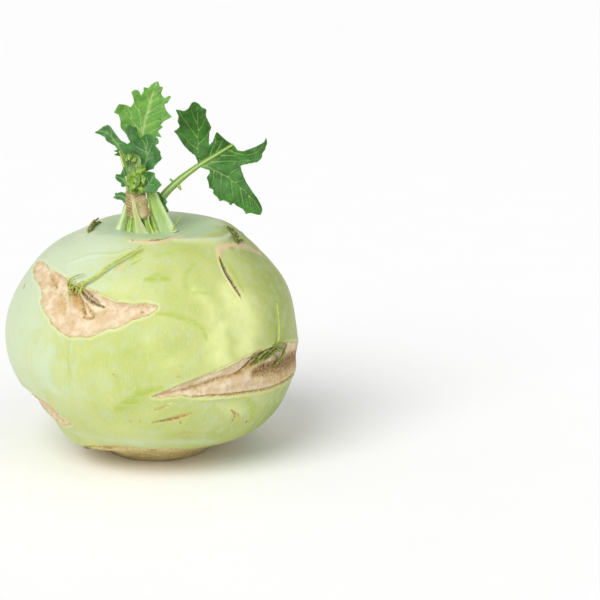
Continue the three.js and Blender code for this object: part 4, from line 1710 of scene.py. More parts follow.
@dataclass(frozen=True)
class Strand:
    """A stalk, stub or fibre that follows a path.

    Attributes:
        points: the path.
        first, last: its radius at each end.
        flare: how much wider it is where it grows out of the crown.
        flat: how much wider it is across than deep.
        channel: how deep the channel in its face is, as a share of its radius.
        face: which way the channel faces.
        ribs: how many ribs run along it.
        rough: how uneven it is, in millimetres.
        sides: mesh points round it.
        age: how far it has gone from green to dark olive.
    """

    points: Sequence[Point3]
    first: float
    last: float
    flare: float = 0.0
    flat: float = 1.0
    channel: float = 0.0
    face: Point3 = (0.0, -1.0, 0.0)
    ribs: int = 7
    rough: float = 0.06
    sides: int = 28
    age: float = 0.0

    def mesh(self) -> tuple[Array, list[Sequence[int]], dict[str, Array]]:
        """Make its skin.

        Returns:
            Its places, faces and named fields.
        """
        step = max(0.25, min(0.6, self.last * 0.7))
        path = curve_through(self.points, step)
        ahead = np.gradient(path, axis=0)
        ahead /= np.linalg.norm(ahead, axis=1)[:, None]
        facing = np.array(self.face) - (ahead @ np.array(self.face))[:, None] * ahead
        facing /= np.linalg.norm(facing, axis=1)[:, None]
        across = np.cross(ahead, facing)
        distance = walked(path)
        along = distance / distance[-1]
        turn = np.linspace(0.0, 2 * np.pi, self.sides, endpoint=False)
        radius = self.first + (self.last - self.first) * along + self.flare * np.exp(-distance / 3.0)
        from_face = np.minimum(turn, 2 * np.pi - turn)
        groove = hump(from_face, 0.0, 0.62)
        rim = hump(from_face, 0.95, 0.35)
        rib = np.cos(self.ribs * turn)
        shape = 1.0 - self.channel * groove + 0.35 * self.channel * rim + 0.035 * rib
        section = radius[:, None] * shape[None, :]
        cosine, sine = np.cos(turn)[None, :, None], np.sin(turn)[None, :, None]
        outward = facing[:, None, :] * cosine + across[:, None, :] * sine * self.flat
        places = (path[:, None, :] + outward * section[:, :, None]).reshape(-1, 3)
        uneven = lumps(places, 1.2, 21) * self.rough
        places += uneven[:, None] * outward.reshape(-1, 3)
        rows = len(path)
        grooved = self.channel > 0
        # The stalk's material paints highlight where this is high and shade where it is low.
        ridge = np.clip(0.35 * rib + rim * grooved - groove * grooved, -1, 1)
        fields = {"along": np.repeat(along, self.sides), "ridge": np.tile(ridge, rows)}
        faces: list[Sequence[int]] = []
        for r in range(rows - 1):
            low, high = r * self.sides, (r + 1) * self.sides
            for c in range(self.sides):
                after = (c + 1) % self.sides
                faces.append((low + c, low + after, high + after, high + c))
        places = np.vstack([places, path[0], path[-1] + ahead[-1] * 0.4 * self.last])
        for key, end in (("along", (0.0, 1.0)), ("ridge", (0.0, 0.0))):
            fields[key] = np.concatenate([fields[key], end])
        fields["age"] = np.full(len(places), self.age)
        start, end = rows * self.sides, rows * self.sides + 1
        for c in range(self.sides):
            after = (c + 1) % self.sides
            faces.append((start, after, c))
            faces.append((end, (rows - 1) * self.sides + c, (rows - 1) * self.sides + after))
        return places, faces, fields


def grow_strands(name: str, strands: Sequence[Strand], material: Material, slot: Slot) -> None:
    """Make, dress and place one piece of several strands.

    Args:
        name: its CAD node.
        strands: what it is made of.
        material: its finish.
        slot: its material slot.
    """
    places, faces, named = [], [], {"along": [], "ridge": [], "age": []}
    count = 0
    for strand in strands:
        more, sides, fields = strand.mesh()
        places.append(more)
        faces += [tuple(count + corner for corner in side) for side in sides]
        for key, values in fields.items():
            named[key].append(values)
        count += len(more)
    joined = {key: np.concatenate(values) for key, values in named.items()}
    piece = make_piece("kohlrabi_" + name, np.vstack(places), faces, joined)
    piece.data.materials.append(material)
    place_piece(piece, slot, name)


# ---- the head of young leaves ----

YOUNG_LEAF = LeafFinish("kohlrabi_young_leaf", "8fcb5c", "76ba48", "a6dc60", "d8eca6", glow=0.42, bloom=0.12)
GREEN_LEAF = LeafFinish("kohlrabi_green_leaf", "529b46", "387d30", "72b550", "add488", glow=0.3, bloom=0.32)
BROAD_LEAF = LeafFinish("kohlrabi_broad_leaf", "3f8a24", "2c6c1a", "57a228", "a9cf70", glow=0.3, bloom=0.14)
TENDER_LEAF = LeafFinish("kohlrabi_tender_leaf", "9fd048", "5c9a30", "cfe660", "e2f09a", glow=0.35, bloom=0.0)
HEART_LEAF = LeafFinish("kohlrabi_heart_leaf", "9dbd6c", "7fa63a", "b4cf94", "d9e8ae", glow=0.3, bloom=0.35)

BLADES = (
    Blade(
        "tall_leaf_blade", (-3.9, 3, 110.2),
        [(0.3, 0), (2.9, 1.3), (4.7, 3.3), (6.6, 3.1), (5.3, 5.3), (7, 6.7), (6.2, 7.5), (7.7, 8.8),
         (10.3, 10.1), (8.5, 12.1), (7.8, 13.7), (7.7, 14.7), (8.8, 15), (10, 17.1), (9.3, 17.5),
         (7.7, 16.7), (6.5, 18.4), (7.2, 20.5), (6.1, 20.8), (5.5, 22.7), (4.4, 22.4), (2.9, 21.4),
         (2, 20.3), (0.4, 20.5), (0.4, 19.3), (-0.6, 17.8), (-1.2, 19.2), (-2.5, 19.6), (-3.8, 18.7),
         (-3.3, 16.9), (-3.1, 15.4), (-3.8, 14.3), (-4.4, 13.7), (-6.2, 14.4), (-8.2, 14.1), (-9.8, 11.4),
         (-8.4, 10.8), (-7.8, 8.9), (-7.7, 6.3), (-5.6, 3.9), (-2.4, 1.2)],
        [
            [(0, 0.4), (-0.1, 3.9), (0.3, 7.2), (1, 10.4), (1.9, 13.1), (2.7, 16), (3.5, 18.7), (4.9, 22)],
            [(-0.1, 3.6), (-0.7, 6.6), (-1.2, 10.1), (-1.4, 13.7), (-1.9, 16.9), (-2.8, 19)],
            [(-0.1, 4), (-2.1, 6.9), (-3.9, 8.9), (-5.5, 11), (-7.4, 12.8)],
            [(0.3, 6.6), (2.6, 8), (5.3, 9), (9, 10)],
            [(0, 3.6), (2.3, 5.2), (4.4, 6.1), (6.2, 6.9)],
            [(1.3, 11.4), (4.1, 13.4), (6.5, 14.8), (9.2, 16.6)],
            [(2.2, 14.6), (4.4, 16.6), (6.2, 18.2)],
            [(3, 17.2), (4.7, 18.7), (6.4, 20.3)],
            [(2.5, 15.4), (1.4, 17.2), (1, 19.6)],
            [(-1.3, 12), (-2.7, 14), (-3.4, 16)],
            [(-2.4, 7.2), (-4.4, 7.3), (-7, 8)],
            [(-4, 9), (-4.2, 11), (-5.4, 13.4)],
            [(0.8, 9.6), (3.4, 11.2), (7.4, 12.6)],
        ],
        YOUNG_LEAF, Slot.YOUNG_LEAF, rib=(3.5, 22), fold=0.2, cup=0.012, tip=0.006, ruffle=0.8, quilt=0.6,
        bends=(Bend((-5.4, 11), (-1, 0.4), 3), Bend((-2.4, 17), (-0.5, 1), 3), Bend((4, 19.6), (0.6, 1), -2)),
        midrib=0.42, seed=3,
    ),
    Blade(
        "middle_leaf_blade", (-3.8, -1, 102),
        [(0.4, -0.3), (2.1, 0.2), (4, 0.6), (4.2, 1.5), (5.6, 3), (6.9, 4.1), (6.4, 5.3), (6.5, 6.3),
         (5.5, 7.6), (4.6, 8.8), (5.8, 9.4), (5.6, 11), (3.6, 12.3), (0.9, 13), (-1.1, 11.7), (-2, 13.5),
         (-2.4, 15.3), (-4.7, 16), (-6, 14.4), (-5.4, 12), (-4.5, 10.1), (-6.3, 8.9), (-6.8, 7),
         (-5.1, 5.7), (-3.4, 4.1), (-1.4, 2.3)],
        [
            [(0.5, 0), (0.8, 2.3), (1.4, 5), (1.2, 7.6), (0.3, 10.3), (-1.5, 12)],
            [(1.4, 4.9), (2.5, 7.3), (3.9, 9.7), (5, 11)],
            [(1, 3), (3, 4.7), (6, 5)],
            [(1.3, 6.4), (-1.1, 7.9), (-3.4, 9.6), (-4.6, 14.6)],
            [(0.8, 2.3), (-1.7, 4.7), (-4.4, 7), (-6, 8)],
            [(1.2, 7.2), (1.8, 9.6), (1.4, 12.2)],
        ],
        GREEN_LEAF, rib=(-1.6, 13), fold=0.35, cup=0.03, tip=0.004, ruffle=1.0, quilt=0.7, midrib=0.3,
        bends=(Bend((-3.6, 12), (-0.5, 1), 4), Bend((3.5, 8), (1, 1), 4), Bend((-4, 8), (-1, 0), 4)), seed=7,
    ),
    Blade(
        "left_leaf_blade", (-11.2, -2, 107.2),
        [(-8.9, 8.2), (-7.5, 9.5), (-6.2, 10.7), (-4.7, 11.1), (-3.5, 10.2), (-2.4, 8.6), (-1.2, 7),
         (0.1, 5.4), (1.9, 4.5), (3.4, 2.6), (2.9, 1.1), (1.5, 0.1), (-0.1, 0.2), (-2.3, 0.5),
         (-1.3, 1.4), (-2.6, 2), (-1.4, 2.6), (-2.4, 3.9), (-3.6, 4.6), (-5.1, 5.5), (-5.8, 6.8),
         (-7.3, 7.6)],
        [
            [(0.9, 0.4), (-0.3, 2.6), (-1.8, 5.1), (-3.8, 7.4), (-6.2, 8.8), (-8.3, 8.4)],
            [(-1.4, 4.6), (0.3, 4.6), (1.5, 3.8)],
            [(-2.4, 5.8), (-3.4, 5.6), (-4.6, 5.9)],
            [(-3.4, 7.2), (-3.2, 8.6), (-4, 10.4)],
        ],
        GREEN_LEAF, rib=(-6.5, 12), fold=0.9, cup=0.05, ruffle=0.9, quilt=0.5, midrib=0.34,
        bends=(Bend((-5, 8), (-1, 0.5), 5), Bend((1.6, 3.4), (1, 0), 5)), seed=11,
    ),
    Blade(
        "left_lower_leaflet", (-10.7, -2.4, 97),
        [(-2.9, 2.8), (-2.6, 4), (-0.9, 4), (-0.4, 5.1), (0.3, 6.6), (0.9, 5.1), (1.2, 2.8), (1.1, 0.4),
         (0.3, -0.5), (-0.7, -0.3), (-0.9, 1), (-2.1, 1.7)],
        [[(1, 0.3), (0.2, 1.9), (-1, 2.9), (-2.4, 3.2)], [(0.2, 1.9), (0.4, 4), (0.3, 5.8)]],
        GREEN_LEAF, rib=(-3, 4), fold=0.4, ruffle=0.7, midrib=0.22, grain=0.34, seed=13,
    ),
    Blade(
        "left_low_leaflet", (-10.7, -2.6, 91.4),
        [(-3.8, 1.4), (-3, 2.1), (-3.1, 3), (-2.1, 3), (-0.9, 3.3), (0.8, 2.8), (1.1, 1.3), (0.7, 0),
         (0.1, -0.6), (-0.7, 0.4), (-1.7, 0.7), (-2.5, 0.8)],
        [[(0.9, 0.6), (-0.2, 1.7), (-1.7, 2.1), (-3.2, 1.5)]],
        GREEN_LEAF, rib=(-4, 1), fold=0.4, ruffle=0.7, midrib=0.22, grain=0.34, seed=17,
    ),
    Blade(
        "front_leaflet", (-3.0, -5.4, 95.4),
        [(-0.4, -0.4), (-0.6, 1.9), (-0.4, 4.1), (0.2, 5.9), (1.4, 7), (3.3, 6.6), (3.8, 4.8), (4.8, 4),
         (6.1, 2.2), (5, 1.2), (4.2, -0.2), (2.5, -0.4), (1.2, -0.1)],
        [
            [(-0.2, 0.2), (0.9, 2.2), (2.4, 4.1), (3.2, 6)],
            [(0.9, 2.2), (3, 2.5), (5.3, 2.2)],
            [(1.5, 3), (0.9, 4.8), (0.9, 6.3)],
        ],
        GREEN_LEAF, rib=(3.4, 4), fold=0.35, cup=0.05, ruffle=0.8, quilt=0.5, midrib=0.26, grain=0.34,
        bends=(Bend((3.4, 2.6), (1, 0), 4), Bend((1.4, 5.6), (0, 1), 5)), seed=19,
    ),
    Blade(
        "shaded_leaflet", (1, 0.2, 93.4),
        [(-0.5, 0.9), (0.6, 0.9), (1.9, -0.8), (3.6, -2.4), (3.1, -3.7), (4.1, -5.9), (3.1, -6.4),
         (1.5, -5.5), (0.8, -4), (0.2, -2.1), (-0.3, -0.6)],
        [[(0, 0.6), (1.2, -1.8), (2.1, -3.9), (3.3, -5.9)]],
        GREEN_LEAF, rib=(3, -6), fold=0.4, ruffle=0.8, midrib=0.22, grain=0.34, seed=23,
    ),
    Blade(
        "right_leaf_blade", (17.2, 1.6, 104.8),
        [(-1.4, -0.9), (-2, 0.8), (-2.7, 2.2), (-4.6, 3.7), (-6.5, 5.6), (-8.1, 7.9), (-8.9, 9.3),
         (-9.8, 10.2), (-8.7, 11.1), (-7.8, 12.1), (-8.5, 13.6), (-8.1, 15.4), (-8.9, 17.3), (-7.4, 17.3),
         (-6.1, 17), (-4.6, 17.8), (-3.6, 19.2), (-2.5, 19.9), (-1, 19.5), (0.1, 18.3), (1.7, 17.5),
         (1.4, 15.7), (2.5, 13.3), (3.1, 11.8), (2.4, 10.4), (2.2, 8), (2.3, 5.9), (3.6, 7.3), (4.4, 9.5),
         (5.2, 10.3), (7.2, 8.5), (8.9, 7.3), (10.9, 6.1), (12.4, 4.1), (14.6, 3.9), (17.9, 4.9),
         (20.8, 5.9), (21.9, 6.5), (22.5, 7.8), (22.9, 6.2), (22.1, 3.9), (21.1, 2.7), (20.8, 1.1),
         (19.4, -0.3), (16.7, -0.7), (13.5, -1.5), (14, -3.8), (15.2, -6.9), (17.3, -10.3), (19.6, -13.6),
         (21.2, -16.8), (20.8, -18.9), (19.5, -19.1), (17.1, -18.5), (15.5, -18.8), (14.5, -17.2),
         (12.7, -16.2), (11, -14.9), (10.2, -15.8), (9, -14.6), (7.3, -13.9), (6.3, -14.3), (5.4, -12.8),
         (3.9, -11.4), (3.7, -9.9), (2.3, -9.1), (2.1, -7.3), (1.5, -5.6), (2.5, -3.9), (2.3, -2.8),
         (0.8, -2.4)],
        [
            [(-0.6, -1.6), (0.8, -0.9), (5.8, 2.8), (10.7, 5.9)],
            [(-1.1, -0.4), (-1.6, 3), (-1.7, 6.8), (-1.6, 11), (-1.5, 15.1), (-1.5, 19)],
            [(-1.7, 4.4), (-4, 6.2), (-6.3, 8.6), (-8.9, 10.4)],
            [(-1.7, 8), (-3.7, 11), (-5.8, 13.9), (-7.9, 16.8)],
            [(-1.6, 6.2), (0.2, 8), (1.6, 9.8), (2.6, 11.8)],
            [(-1.6, 10.4), (-0.1, 12.7), (1.2, 15.1)],
            [(-1.6, 13), (-3, 15.4), (-3.6, 17.8)],
            [(3.4, 1.1), (4.9, 3.9), (6.2, 6.4), (6.9, 8.2)],
            [(2, 0.2), (2.9, 3.9), (4.2, 7), (5, 9.6)],
            [(8.4, 4.4), (12.6, 2.9), (15.5, 2.4), (19.1, 3.3), (22, 6)],
            [(2.5, -0.2), (6.1, 0.1), (9.6, 0.2), (13.1, 0.2), (16.7, 0.3), (19.6, 0.8)],
            [(0.9, -1.3), (4, -2.9), (6.7, -4.3), (9, -5.7), (12, -8), (14.9, -10.6), (17.9, -13.6),
                (20.3, -17.6)],
            [(9, -5.7), (10.6, -3.6), (13, -2.2)],
            [(4, -2.9), (3.7, -6.2), (3, -8.8)],
            [(6.7, -4.3), (6.5, -8), (6.7, -13)],
            [(10.2, -6.5), (10.5, -9.7), (11.2, -14.2)],
            [(13.2, -9), (14, -12.7), (14.9, -16.8)],
            [(11.4, -7.5), (13, -7), (14.6, -6.6)],
            [(16, -11.7), (16.8, -14), (17.4, -17.8)],
            [(5.6, 2.6), (8.6, 2.2), (12, 2.4)],
        ],
        BROAD_LEAF, rib=(10.5, 5.6), fold=0.16, cup=0.012, tip=-0.004, ruffle=0.9, quilt=0.8, midrib=0.9,
        grain=0.5,
        bends=(
            Bend((-2, 12), (-0.3, 1), 3), Bend((-5, 9), (-1, 0), 4), Bend((15, 2), (1, 0.4), 6),
            Bend((14, -10), (1, -1), -3), Bend((5, -9), (-0.7, -1), 4), Bend((4.6, 6), (0.3, 1), 4),
        ),
        seed=29,
    ),
    Blade(
        "heart_leaf", (-8.0, -4.0, 96.1),
        [(-1.4, 0.2), (-1.3, 3.5), (-1.5, 6.9), (-2, 9.6), (-2.2, 11.6), (-0.8, 12.6), (0.8, 12.4),
         (2.2, 11.8), (3.9, 10.2), (3.8, 7.4), (3.2, 5), (3.6, 3), (3, 1), (1, -0.2), (-0.6, -0.6)],
        [
            [(-0.9, 0), (-0.8, 4), (-0.6, 8), (-0.4, 11.8)], [(-0.2, 2), (0.8, 6), (1.4, 9.4)],
            [(0.8, 1), (1.8, 4.4), (2.2, 8)],
        ],
        HEART_LEAF, Slot.YOUNG_LEAF, rib=(0, 13), fold=0.5, cup=0.12, ruffle=1.1, quilt=0.9, midrib=0.3,
        bends=(Bend((0, 8), (0, 1), 6),), grain=0.34, seed=31,
    ),
    Blade(
        "withered_leaf_blade", (-5.9, -5.9, 87.3),
        [(-3.3, -0.4), (-3.9, 1.6), (-3.6, 2.4), (-4.2, 4.2), (-3.8, 6.2), (-4, 8), (-2.7, 8.9),
         (-1.6, 8.4), (-0.2, 8.9), (1.2, 8.1), (2.8, 7.9), (3.2, 6.1), (4, 4.6), (3.7, 3.1), (4.7, 1.4),
         (3.9, -0.4), (2.6, -1.6), (0.8, -1.2), (-1.2, -1.8), (-2.4, -1)],
        [
            [(0.4, -1), (-0.2, 1.2), (-1.2, 4.6), (-2.0, 8)],
            *([(-0.3 - 0.26 * k, 0.2 + 0.95 * k), (-2, 1.5 + 0.98 * k), (-3.9, 2.4 + 1.0 * k)]
              for k in range(-2, 6)),
            *([(0.1 - 0.26 * k, 0.2 + 0.95 * k), (1.8, 2.4 + 0.9 * k), (3.8, 4 + 0.86 * k)]
              for k in range(-4, 6)),
        ],
        WitheredFinish(), Slot.WITHERED, rib=(-2, 8), fold=-0.1, cup=-0.05, ruffle=0.8, quilt=0.7, midrib=0.5,
        grain=0.26, seed=37,
    ),
)

ROUND_STALK = StalkFinish("kohlrabi_stalk", "ccdcb0", "b4d07c", "98c052", "88b048")
LEANING_STALK = StalkFinish("kohlrabi_leaning_stalk", "b9cf8c", "8fb254", "7fa63f", "6a9330")
DRY_STALK = StalkFinish("kohlrabi_dry_stalk", "cddcae", "c2d28a", "cbc48c", "a8a860")
INNER_STALK = StalkFinish("kohlrabi_inner_stalk", "cadb94", "a8c454", "93b546", "6f8d34")


STALKS = {
    "left_leaf_stalk": [
        Strand(
            [(-12.2, -3, 79.5), (-10.9, -3, 84), (-9.4, -2.8, 90), (-8.9, -2.4, 96), (-9.8, -2.2, 102),
             (-10.9, -2, 106.4), (-11.8, -2, 109.4)],
            1.7, 0.5, 1.5, channel=0.25, face=(0.6, -1, 0.2), ribs=6,
        ),
    ],
    "middle_leaf_stalk": [
        Strand(
            [(4.5, -2, 80), (3.2, -2.2, 84), (1.2, -2.2, 89), (-0.9, -1.8, 94.5), (-2.6, -1.2, 99),
             (-3.3, -1, 102.2)],
            2.4, 0.9, 0.9, flat=1.2, channel=0.42, face=(-0.25, -1, 0.3), ribs=5, sides=36,
        ),
    ],
    "tall_leaf_stalk": [
        Strand([(-5, 3.4, 79.5), (-5.2, 3.8, 90), (-5, 3.8, 101), (-3.9, 3, 110.6)], 1.6, 0.5, 0.8,
            channel=0.2),
    ],
    "right_leaf_stalk": [
        Strand(
            [(-1, 4.4, 79.5), (0.2, 3.8, 87.5), (3.2, 3.2, 92.8), (8.2, 2.6, 97.8), (12.8, 2.2, 101.5),
             (16.6, 1.8, 104.2), (20.5, 1.6, 106.6), (24.5, 2, 109), (27.9, 2.6, 110.9)],
            1.9, 0.5, 0.6, flat=0.95, channel=0.16, face=(-0.6, -0.6, 0.8), ribs=8, sides=36,
        ),
        Strand([(6.8, 2.8, 97), (6.1, 2.5, 98), (5.4, 2.4, 98.7)], 0.7, 0.35, rough=0.25),
        Strand([(8.6, 2, 96.4), (8.9, 1.6, 95.4), (9.2, 1.4, 94.9)], 0.7, 0.3, rough=0.25),
    ],
    "withered_leaf_stalk": [
        Strand(
            [(-4.2, -6.4, 80), (-4.9, -6.9, 83), (-5.8, -7, 86.4), (-6.5, -6.9, 89.6), (-7.2, -6, 92.6)],
            1.1, 0.35, 1.2, flat=1.2, channel=0.2, face=(0, -1, 0), ribs=4,
        ),
    ],
    "left_stalk_stub": [
        Strand([(-7.9, -5.2, 79.5), (-7.6, -5.4, 83), (-7.4, -4.8, 87.4)], 0.95, 0.6, 0.6, channel=0.5,
            rough=0.25),
        Strand([(-9.2, -4.8, 79.6), (-9, -5, 82.6), (-8.6, -4.6, 86)], 0.5, 0.25, 0.5, rough=0.15),
    ],
    "right_stalk_stub": [
        Strand([(-0.9, -5.4, 79.5), (-1.9, -5.6, 83), (-3.2, -5.2, 88)], 1.0, 0.55, 0.6, channel=0.5,
            rough=0.2),
        Strand([(0.9, -4.2, 79.6), (0.3, -4.4, 82.4), (-0.9, -4, 86.4)], 0.6, 0.3, 0.6, rough=0.15),
        Strand([(0.6, -2.4, 79.6), (-0.9, -2.8, 88), (-2.2, -2.8, 95.4)], 1.0, 0.6, 0.5, channel=0.4,
            rough=0.15),
    ],
}


@dataclass
class LeafHead:
    """The young leaves in the middle of the crown, with what is left of those around them.

    Attributes:
        blades: every blade but those of the bud.
        stalks: the stalks and stubs, by CAD node.
    """

    blades: Sequence[Blade] = BLADES
    stalks: dict[str, list[Strand]] = field(default_factory=lambda: STALKS)

    def heart(self) -> list[Blade]:
        """Lay out the tiny crumpled leaves of the bud, from the bottom to the top.

        Returns:
            The leaves.
        """
        draw = np.random.default_rng(5)
        leaflets = []
        spots = (
            (-7, -5.2, 94.8, 4.2), (-5.2, -5.4, 94.6, 4), (-8, -4.8, 94.8, 3.4), (-3.8, -5.4, 95, 3.4),
            (-6.2, -5.6, 96.6, 3.8), (-4.6, -5.8, 97, 3.6), (-3.2, -5.4, 98.2, 3), (-5.8, -5.6, 98.8, 3.6),
            (-5, -5.4, 100.2, 3.4), (-5.6, -5, 102.2, 3.2), (-6, -4.6, 103.8, 2.8), (-9.2, -4.6, 106.2, 2.6),
            (-8.2, -4.6, 106.4, 2.6), (-7.4, -4.6, 106, 2.2),
        )
        ring = np.linspace(0.0, 2 * np.pi, 14, endpoint=False)
        for number, (x, y, z, size) in enumerate(spots):
            turn = draw.uniform(-1.0, 1.0)
            up = size * (0.5 - 0.5 * np.cos(ring)) * (1.0 + 0.12 * np.cos(5 * ring))
            across = 0.32 * size * np.sin(ring) * (1.0 + 0.4 * np.cos(4 * ring + number))
            outline = [
                (a * math.cos(turn) + u * math.sin(turn), u * math.cos(turn) - a * math.sin(turn))
                for a, u in zip(across, up)
            ]
            veins = [[(0, 0.1), (0.7 * size * math.sin(turn), 0.7 * size * math.cos(turn))]]
            leaflets.append(Blade(
                "heart_bud", (x, y, z), outline, veins, TENDER_LEAF, Slot.YOUNG_LEAF,
                rib=(math.sin(turn), math.cos(turn)), fold=0.5, cup=-0.1, tip=0.05, ruffle=1.6, quilt=0.2,
                midrib=0.24, grain=0.24, seed=60 + number,
            ))
        return leaflets

    def build(self) -> None:
        """Make, dress and place every leaf, stalk and stub."""
        made: dict[LeafFinish | WitheredFinish, Material] = {}
        for blade in self.blades:
            if blade.finish not in made:
                made[blade.finish] = blade.finish.material()
            blade.dress(blade.build(), made[blade.finish])
        skins = {finish: finish.material() for finish in (ROUND_STALK, LEANING_STALK, DRY_STALK, INNER_STALK)}
        others = {
            "left_stalk_stub": INNER_STALK,
            "right_stalk_stub": INNER_STALK,
            "right_leaf_stalk": LEANING_STALK,
            "withered_leaf_stalk": DRY_STALK,
        }
        for node, strands in self.stalks.items():
            grow_strands(node, strands, skins[others.get(node, ROUND_STALK)], Slot.STALK)
        self.build_heart(TENDER_LEAF.material())

    def build_heart(self, material: Material) -> None:
        """Join the bud's leaflets into one piece.

        Args:
            material: its finish.
        """
        parts = [leaflet.build() for leaflet in self.heart()]
        bpy.ops.object.select_all(action="DESELECT")
        for part in parts:
            part.select_set(True)
        bpy.context.view_layer.objects.active = parts[0]
        bpy.ops.object.join()
        parts[0].name = "kohlrabi_heart_bud"
        parts[0].data.materials.append(material)
        place_piece(parts[0], Slot.YOUNG_LEAF, "heart_bud")


@dataclass
class ScarFibres:
    """Fibres torn out of the scars and the dry stubs left beside the crown.

    Attributes:
        corm: the corm they grow out of.
    """

    corm: Corm

    def over(self, *spots: Point3) -> list[Point3]:
        """Points above the skin, each from an azimuth, an arc and a height."""
        return [self.corm.over_skin(*spot) for spot in spots]

    def fibres(self) -> dict[str, list[Strand]]:
        """Lay out the fibres.

        Returns:
            The strands of each CAD node.
        """
        tuft = (
            ((-39.4, 103.8, -0.4), (-38.4, 105.5, 0.9), (-35.4, 107.3, 1.4), (-30.6, 109, 1.2)),
            ((-39.4, 105.4, -0.4), (-37, 103.6, 0.7), (-35.3, 104.3, 0.8), (-32.1, 104.6, 0.9),
             (-28.6, 104.2, 0.4)),
            ((-38.4, 103.2, -0.4), (-35.6, 105.4, 1.2), (-34, 106.6, 1.5)),
            ((-36, 103, -0.5), (-34, 104.4, 0.9), (-31.5, 103.6, 0.7), (-29, 102.4, 0)),
            ((-33.5, 102.6, -0.5), (-31, 105.4, 0.9), (-27.4, 106.6, 1)),
            ((-38.6, 103, -0.6), (-36.4, 102, 0.6), (-34, 99, 0.2), (-32, 96.6, 0)),
        )
        right_tuft = (
            ((44, 77.4, -0.5), (46.6, 78.4, 0.9), (49, 77.2, 1), (53.4, 75.2, 0.5)),
            ((48.6, 75, -0.5), (50.6, 77.4, 1.1), (53.7, 78.6, 1), (57, 77.6, 0.8)),
            ((53.6, 74.6, -0.4), (56, 76.2, 1.1), (60.4, 77.6, 1.3), (64.4, 76.2, 0.7)),
            ((55.4, 78.6, -0.4), (58.4, 76.6, 1.2), (62, 74.4, 1), (64, 72.6, 0.2)),
            ((60.2, 79, -0.4), (63, 77.4, 1.2), (66.6, 76.6, 1.1), (70, 74, 0.4)),
            ((57.6, 79.4, -0.4), (62, 79.6, 1.2), (67, 78, 1.2), (70.4, 76.2, 0.6)),
            ((62, 71.4, -0.4), (63.6, 73.4, 1), (66.5, 75.4, 1.2), (68.4, 78, 0.9)),
            ((46.6, 74.4, -0.5), (50.4, 75.4, 0.9), (55, 77.2, 1), (60.6, 79, 0.6)),
        )
        return {
            "long_scar_fibre": [
                Strand(
                    self.over((-31, 103, -0.6), (-28.6, 105.4, 1), (-24.1, 108.3, 1.2), (-19.2, 112.4, 1.5),
                              (-13.5, 116.2, 1.5), (-8, 119.8, 1.3), (-4.4, 122.2, 1.7)),
                    0.5, 0.3, sides=10, ribs=3,
                ),
            ],
            "short_scar_fibre": [
                Strand(self.over(*line), 0.34, 0.18, sides=8, ribs=3, age=0.25) for line in tuft
            ],
            "upright_scar_fibre": [
                Strand(
                    self.over((60.4, 77.6, -0.4), (60.6, 81, 1), (61.2, 86, 1.7), (62.2, 90, 1.6),
                              (62.8, 93.4, 1.7)),
                    0.36, 0.18, sides=10, ribs=3,
                ),
                *(Strand(self.over(*line), 0.5, 0.26, sides=8, ribs=3, age=0.8) for line in right_tuft),
            ],
            "crown_fibre": [
                Strand([(6.6, -4.4, 81.4), (8, -5.2, 84.2), (9.5, -6, 86.8)], 0.34, 0.2, sides=10, ribs=3),
            ],
        }

    def stubs(self) -> dict[str, list[Strand]]:
        """Lay out the dry stubs.

        Returns:
            The strands of each CAD node.
        """
        return {
            "left_scar_stub": [
                Strand(
                    self.over((-64, 128.6, -0.4), (-70, 129.8, 0.5), (-80, 131.2, 0.8), (-92, 132.4, 0.8),
                              (-104, 133, 0)),
                    1.0, 0.3, flat=0.7, rough=0.6,
                ),
                Strand(self.over((-76, 130, 0), (-84, 131.4, 1.6), (-94, 133, 2.2)), 0.6, 0.2, rough=0.4),
            ],
            "right_scar_stub": [
                Strand(
                    self.over((66, 119.6, -0.4), (69, 121, 0.7), (74, 122.6, 1.1), (82, 125, 0.9),
                              (94, 127.4, 0)),
                    0.75, 0.3, flat=0.8, rough=0.5,
                ),
                Strand(self.over((70, 120.6, 0), (74, 120.4, 0.7), (78, 119.6, 0.5)), 0.5, 0.2, rough=0.3),
            ],
            "back_scar_stub": [
                Strand(
                    self.over((146, 102.4, -0.5), (150, 103.6, 1.2), (154, 105.2, 1.6), (158, 107.8, 1.8)),
                    1.5, 0.9, channel=0.3, rough=0.4,
                ),
            ],
        }

    def build(self) -> None:
        """Make, dress and place every fibre and stub."""
        fibre, stub = FibreFinish().material(), StubFinish().material()
        for node, strands in self.fibres().items():
            grow_strands(node, strands, fibre, Slot.FIBRE)
        for node, strands in self.stubs().items():
            grow_strands(node, strands, stub, Slot.STUB)


# ---- the studio ----


@dataclass(frozen=True)
class Lamp:
    """A far, soft lamp: how bright it is, how wide it looks in degrees, and which way it shines."""

    name: str
    strength: float
    spread: float
    direction: Point3

    def hang(self) -> None:
        """Add the lamp to the scene."""
        light = bpy.data.lights.new(self.name, "SUN")
        light.energy = self.strength
        light.angle = math.radians(self.spread)
        lamp = bpy.data.objects.new(self.name, light)
        lamp.rotation_euler = Vector(self.direction).to_track_quat("-Z", "Y").to_euler()
        link(lamp)


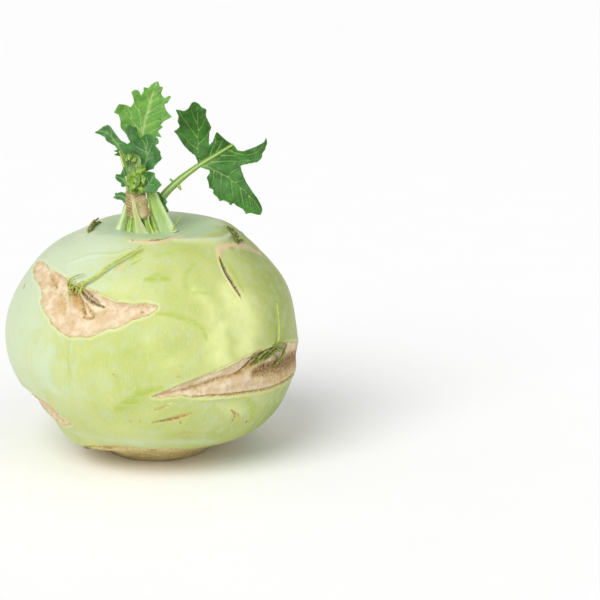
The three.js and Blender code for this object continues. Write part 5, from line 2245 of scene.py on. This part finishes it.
@dataclass
class Studio:
    """A white surface, soft light and the camera.

    Attributes:
        floor_size: edge of the surface, in metres.
        elevation: how far the camera looks down, in degrees.
        distance: from the camera to the middle of the root end, along its view, in millimetres.
        aside, above: how far the middle of the view is to the right of the root end and above it.
        lens: focal length, in millimetres.
        sky_strength: how bright the even white light from all sides is.
        lamps: the lamps.
    """

    floor_size: float = 80.0
    elevation: float = 13.0
    distance: float = 709.2
    aside: float = 51.6
    above: float = 53.66
    lens: float = 116.4
    sky_strength: float = 0.5
    lamps: Sequence[Lamp] = (
        Lamp("key", 2.1, 42.0, (0.45, 0.75, -0.8)),
        Lamp("fill", 0.45, 60.0, (-0.6, 0.6, -0.5)),
    )

    def floor(self) -> None:
        """Lay the white surface level with the lowest point of the part."""
        half = self.floor_size / 2
        level = cad_box[0][2]
        mesh = bpy.data.meshes.new("studio_floor")
        corners = [(x, y, level) for x, y in ((-half, -half), (half, -half), (half, half), (-half, half))]
        mesh.from_pydata(corners, [], [(0, 1, 2, 3)])
        mesh.materials.append(FloorFinish().material())
        floor = bpy.data.objects.new("studio_floor", mesh)
        link(floor)

    def sky(self) -> None:
        """Surround the part with even white light."""
        world = bpy.data.worlds.new("studio_white")
        world.use_nodes = True
        background = world.node_tree.nodes["Background"]
        background.inputs["Color"].default_value = (1.0, 1.0, 1.0, 1.0)
        background.inputs["Strength"].default_value = self.sky_strength
        bpy.context.scene.world = world

    def camera(self) -> None:
        """Stand the camera in front of the part, with the part at the left of its view."""
        tilt = math.radians(self.elevation)
        foot = np.array(frame["record"]["mounts"][0]["pos_m"]) / MM
        ahead = np.array([0.0, math.cos(tilt), -math.sin(tilt)])
        upward = np.array([0.0, math.sin(tilt), math.cos(tilt)])
        middle = foot + np.array([self.aside, 0.0, 0.0]) + self.above * upward
        place = middle - self.distance * ahead
        data = bpy.data.cameras.new("camera")
        data.lens = self.lens
        camera = bpy.data.objects.new("camera", data)
        camera.location = place * MM
        camera.rotation_euler = (math.pi / 2 - tilt, 0.0, 0.0)
        link(camera)
        bpy.context.scene.camera = camera

    def build(self) -> None:
        """Set up the whole studio."""
        bpy.context.scene.view_settings.view_transform = "Standard"
        self.floor()
        self.sky()
        for lamp in self.lamps:
            lamp.hang()
        self.camera()


def main() -> None:
    """Build the studio and every piece."""
    logging.basicConfig(level=logging.INFO, format="%(name)s: %(message)s")
    Studio().build()
    corm = Corm()
    corm.dress(corm.build())
    LeafHead().build()
    ScarFibres(corm).build()


if __name__ == "__main__":
    main()
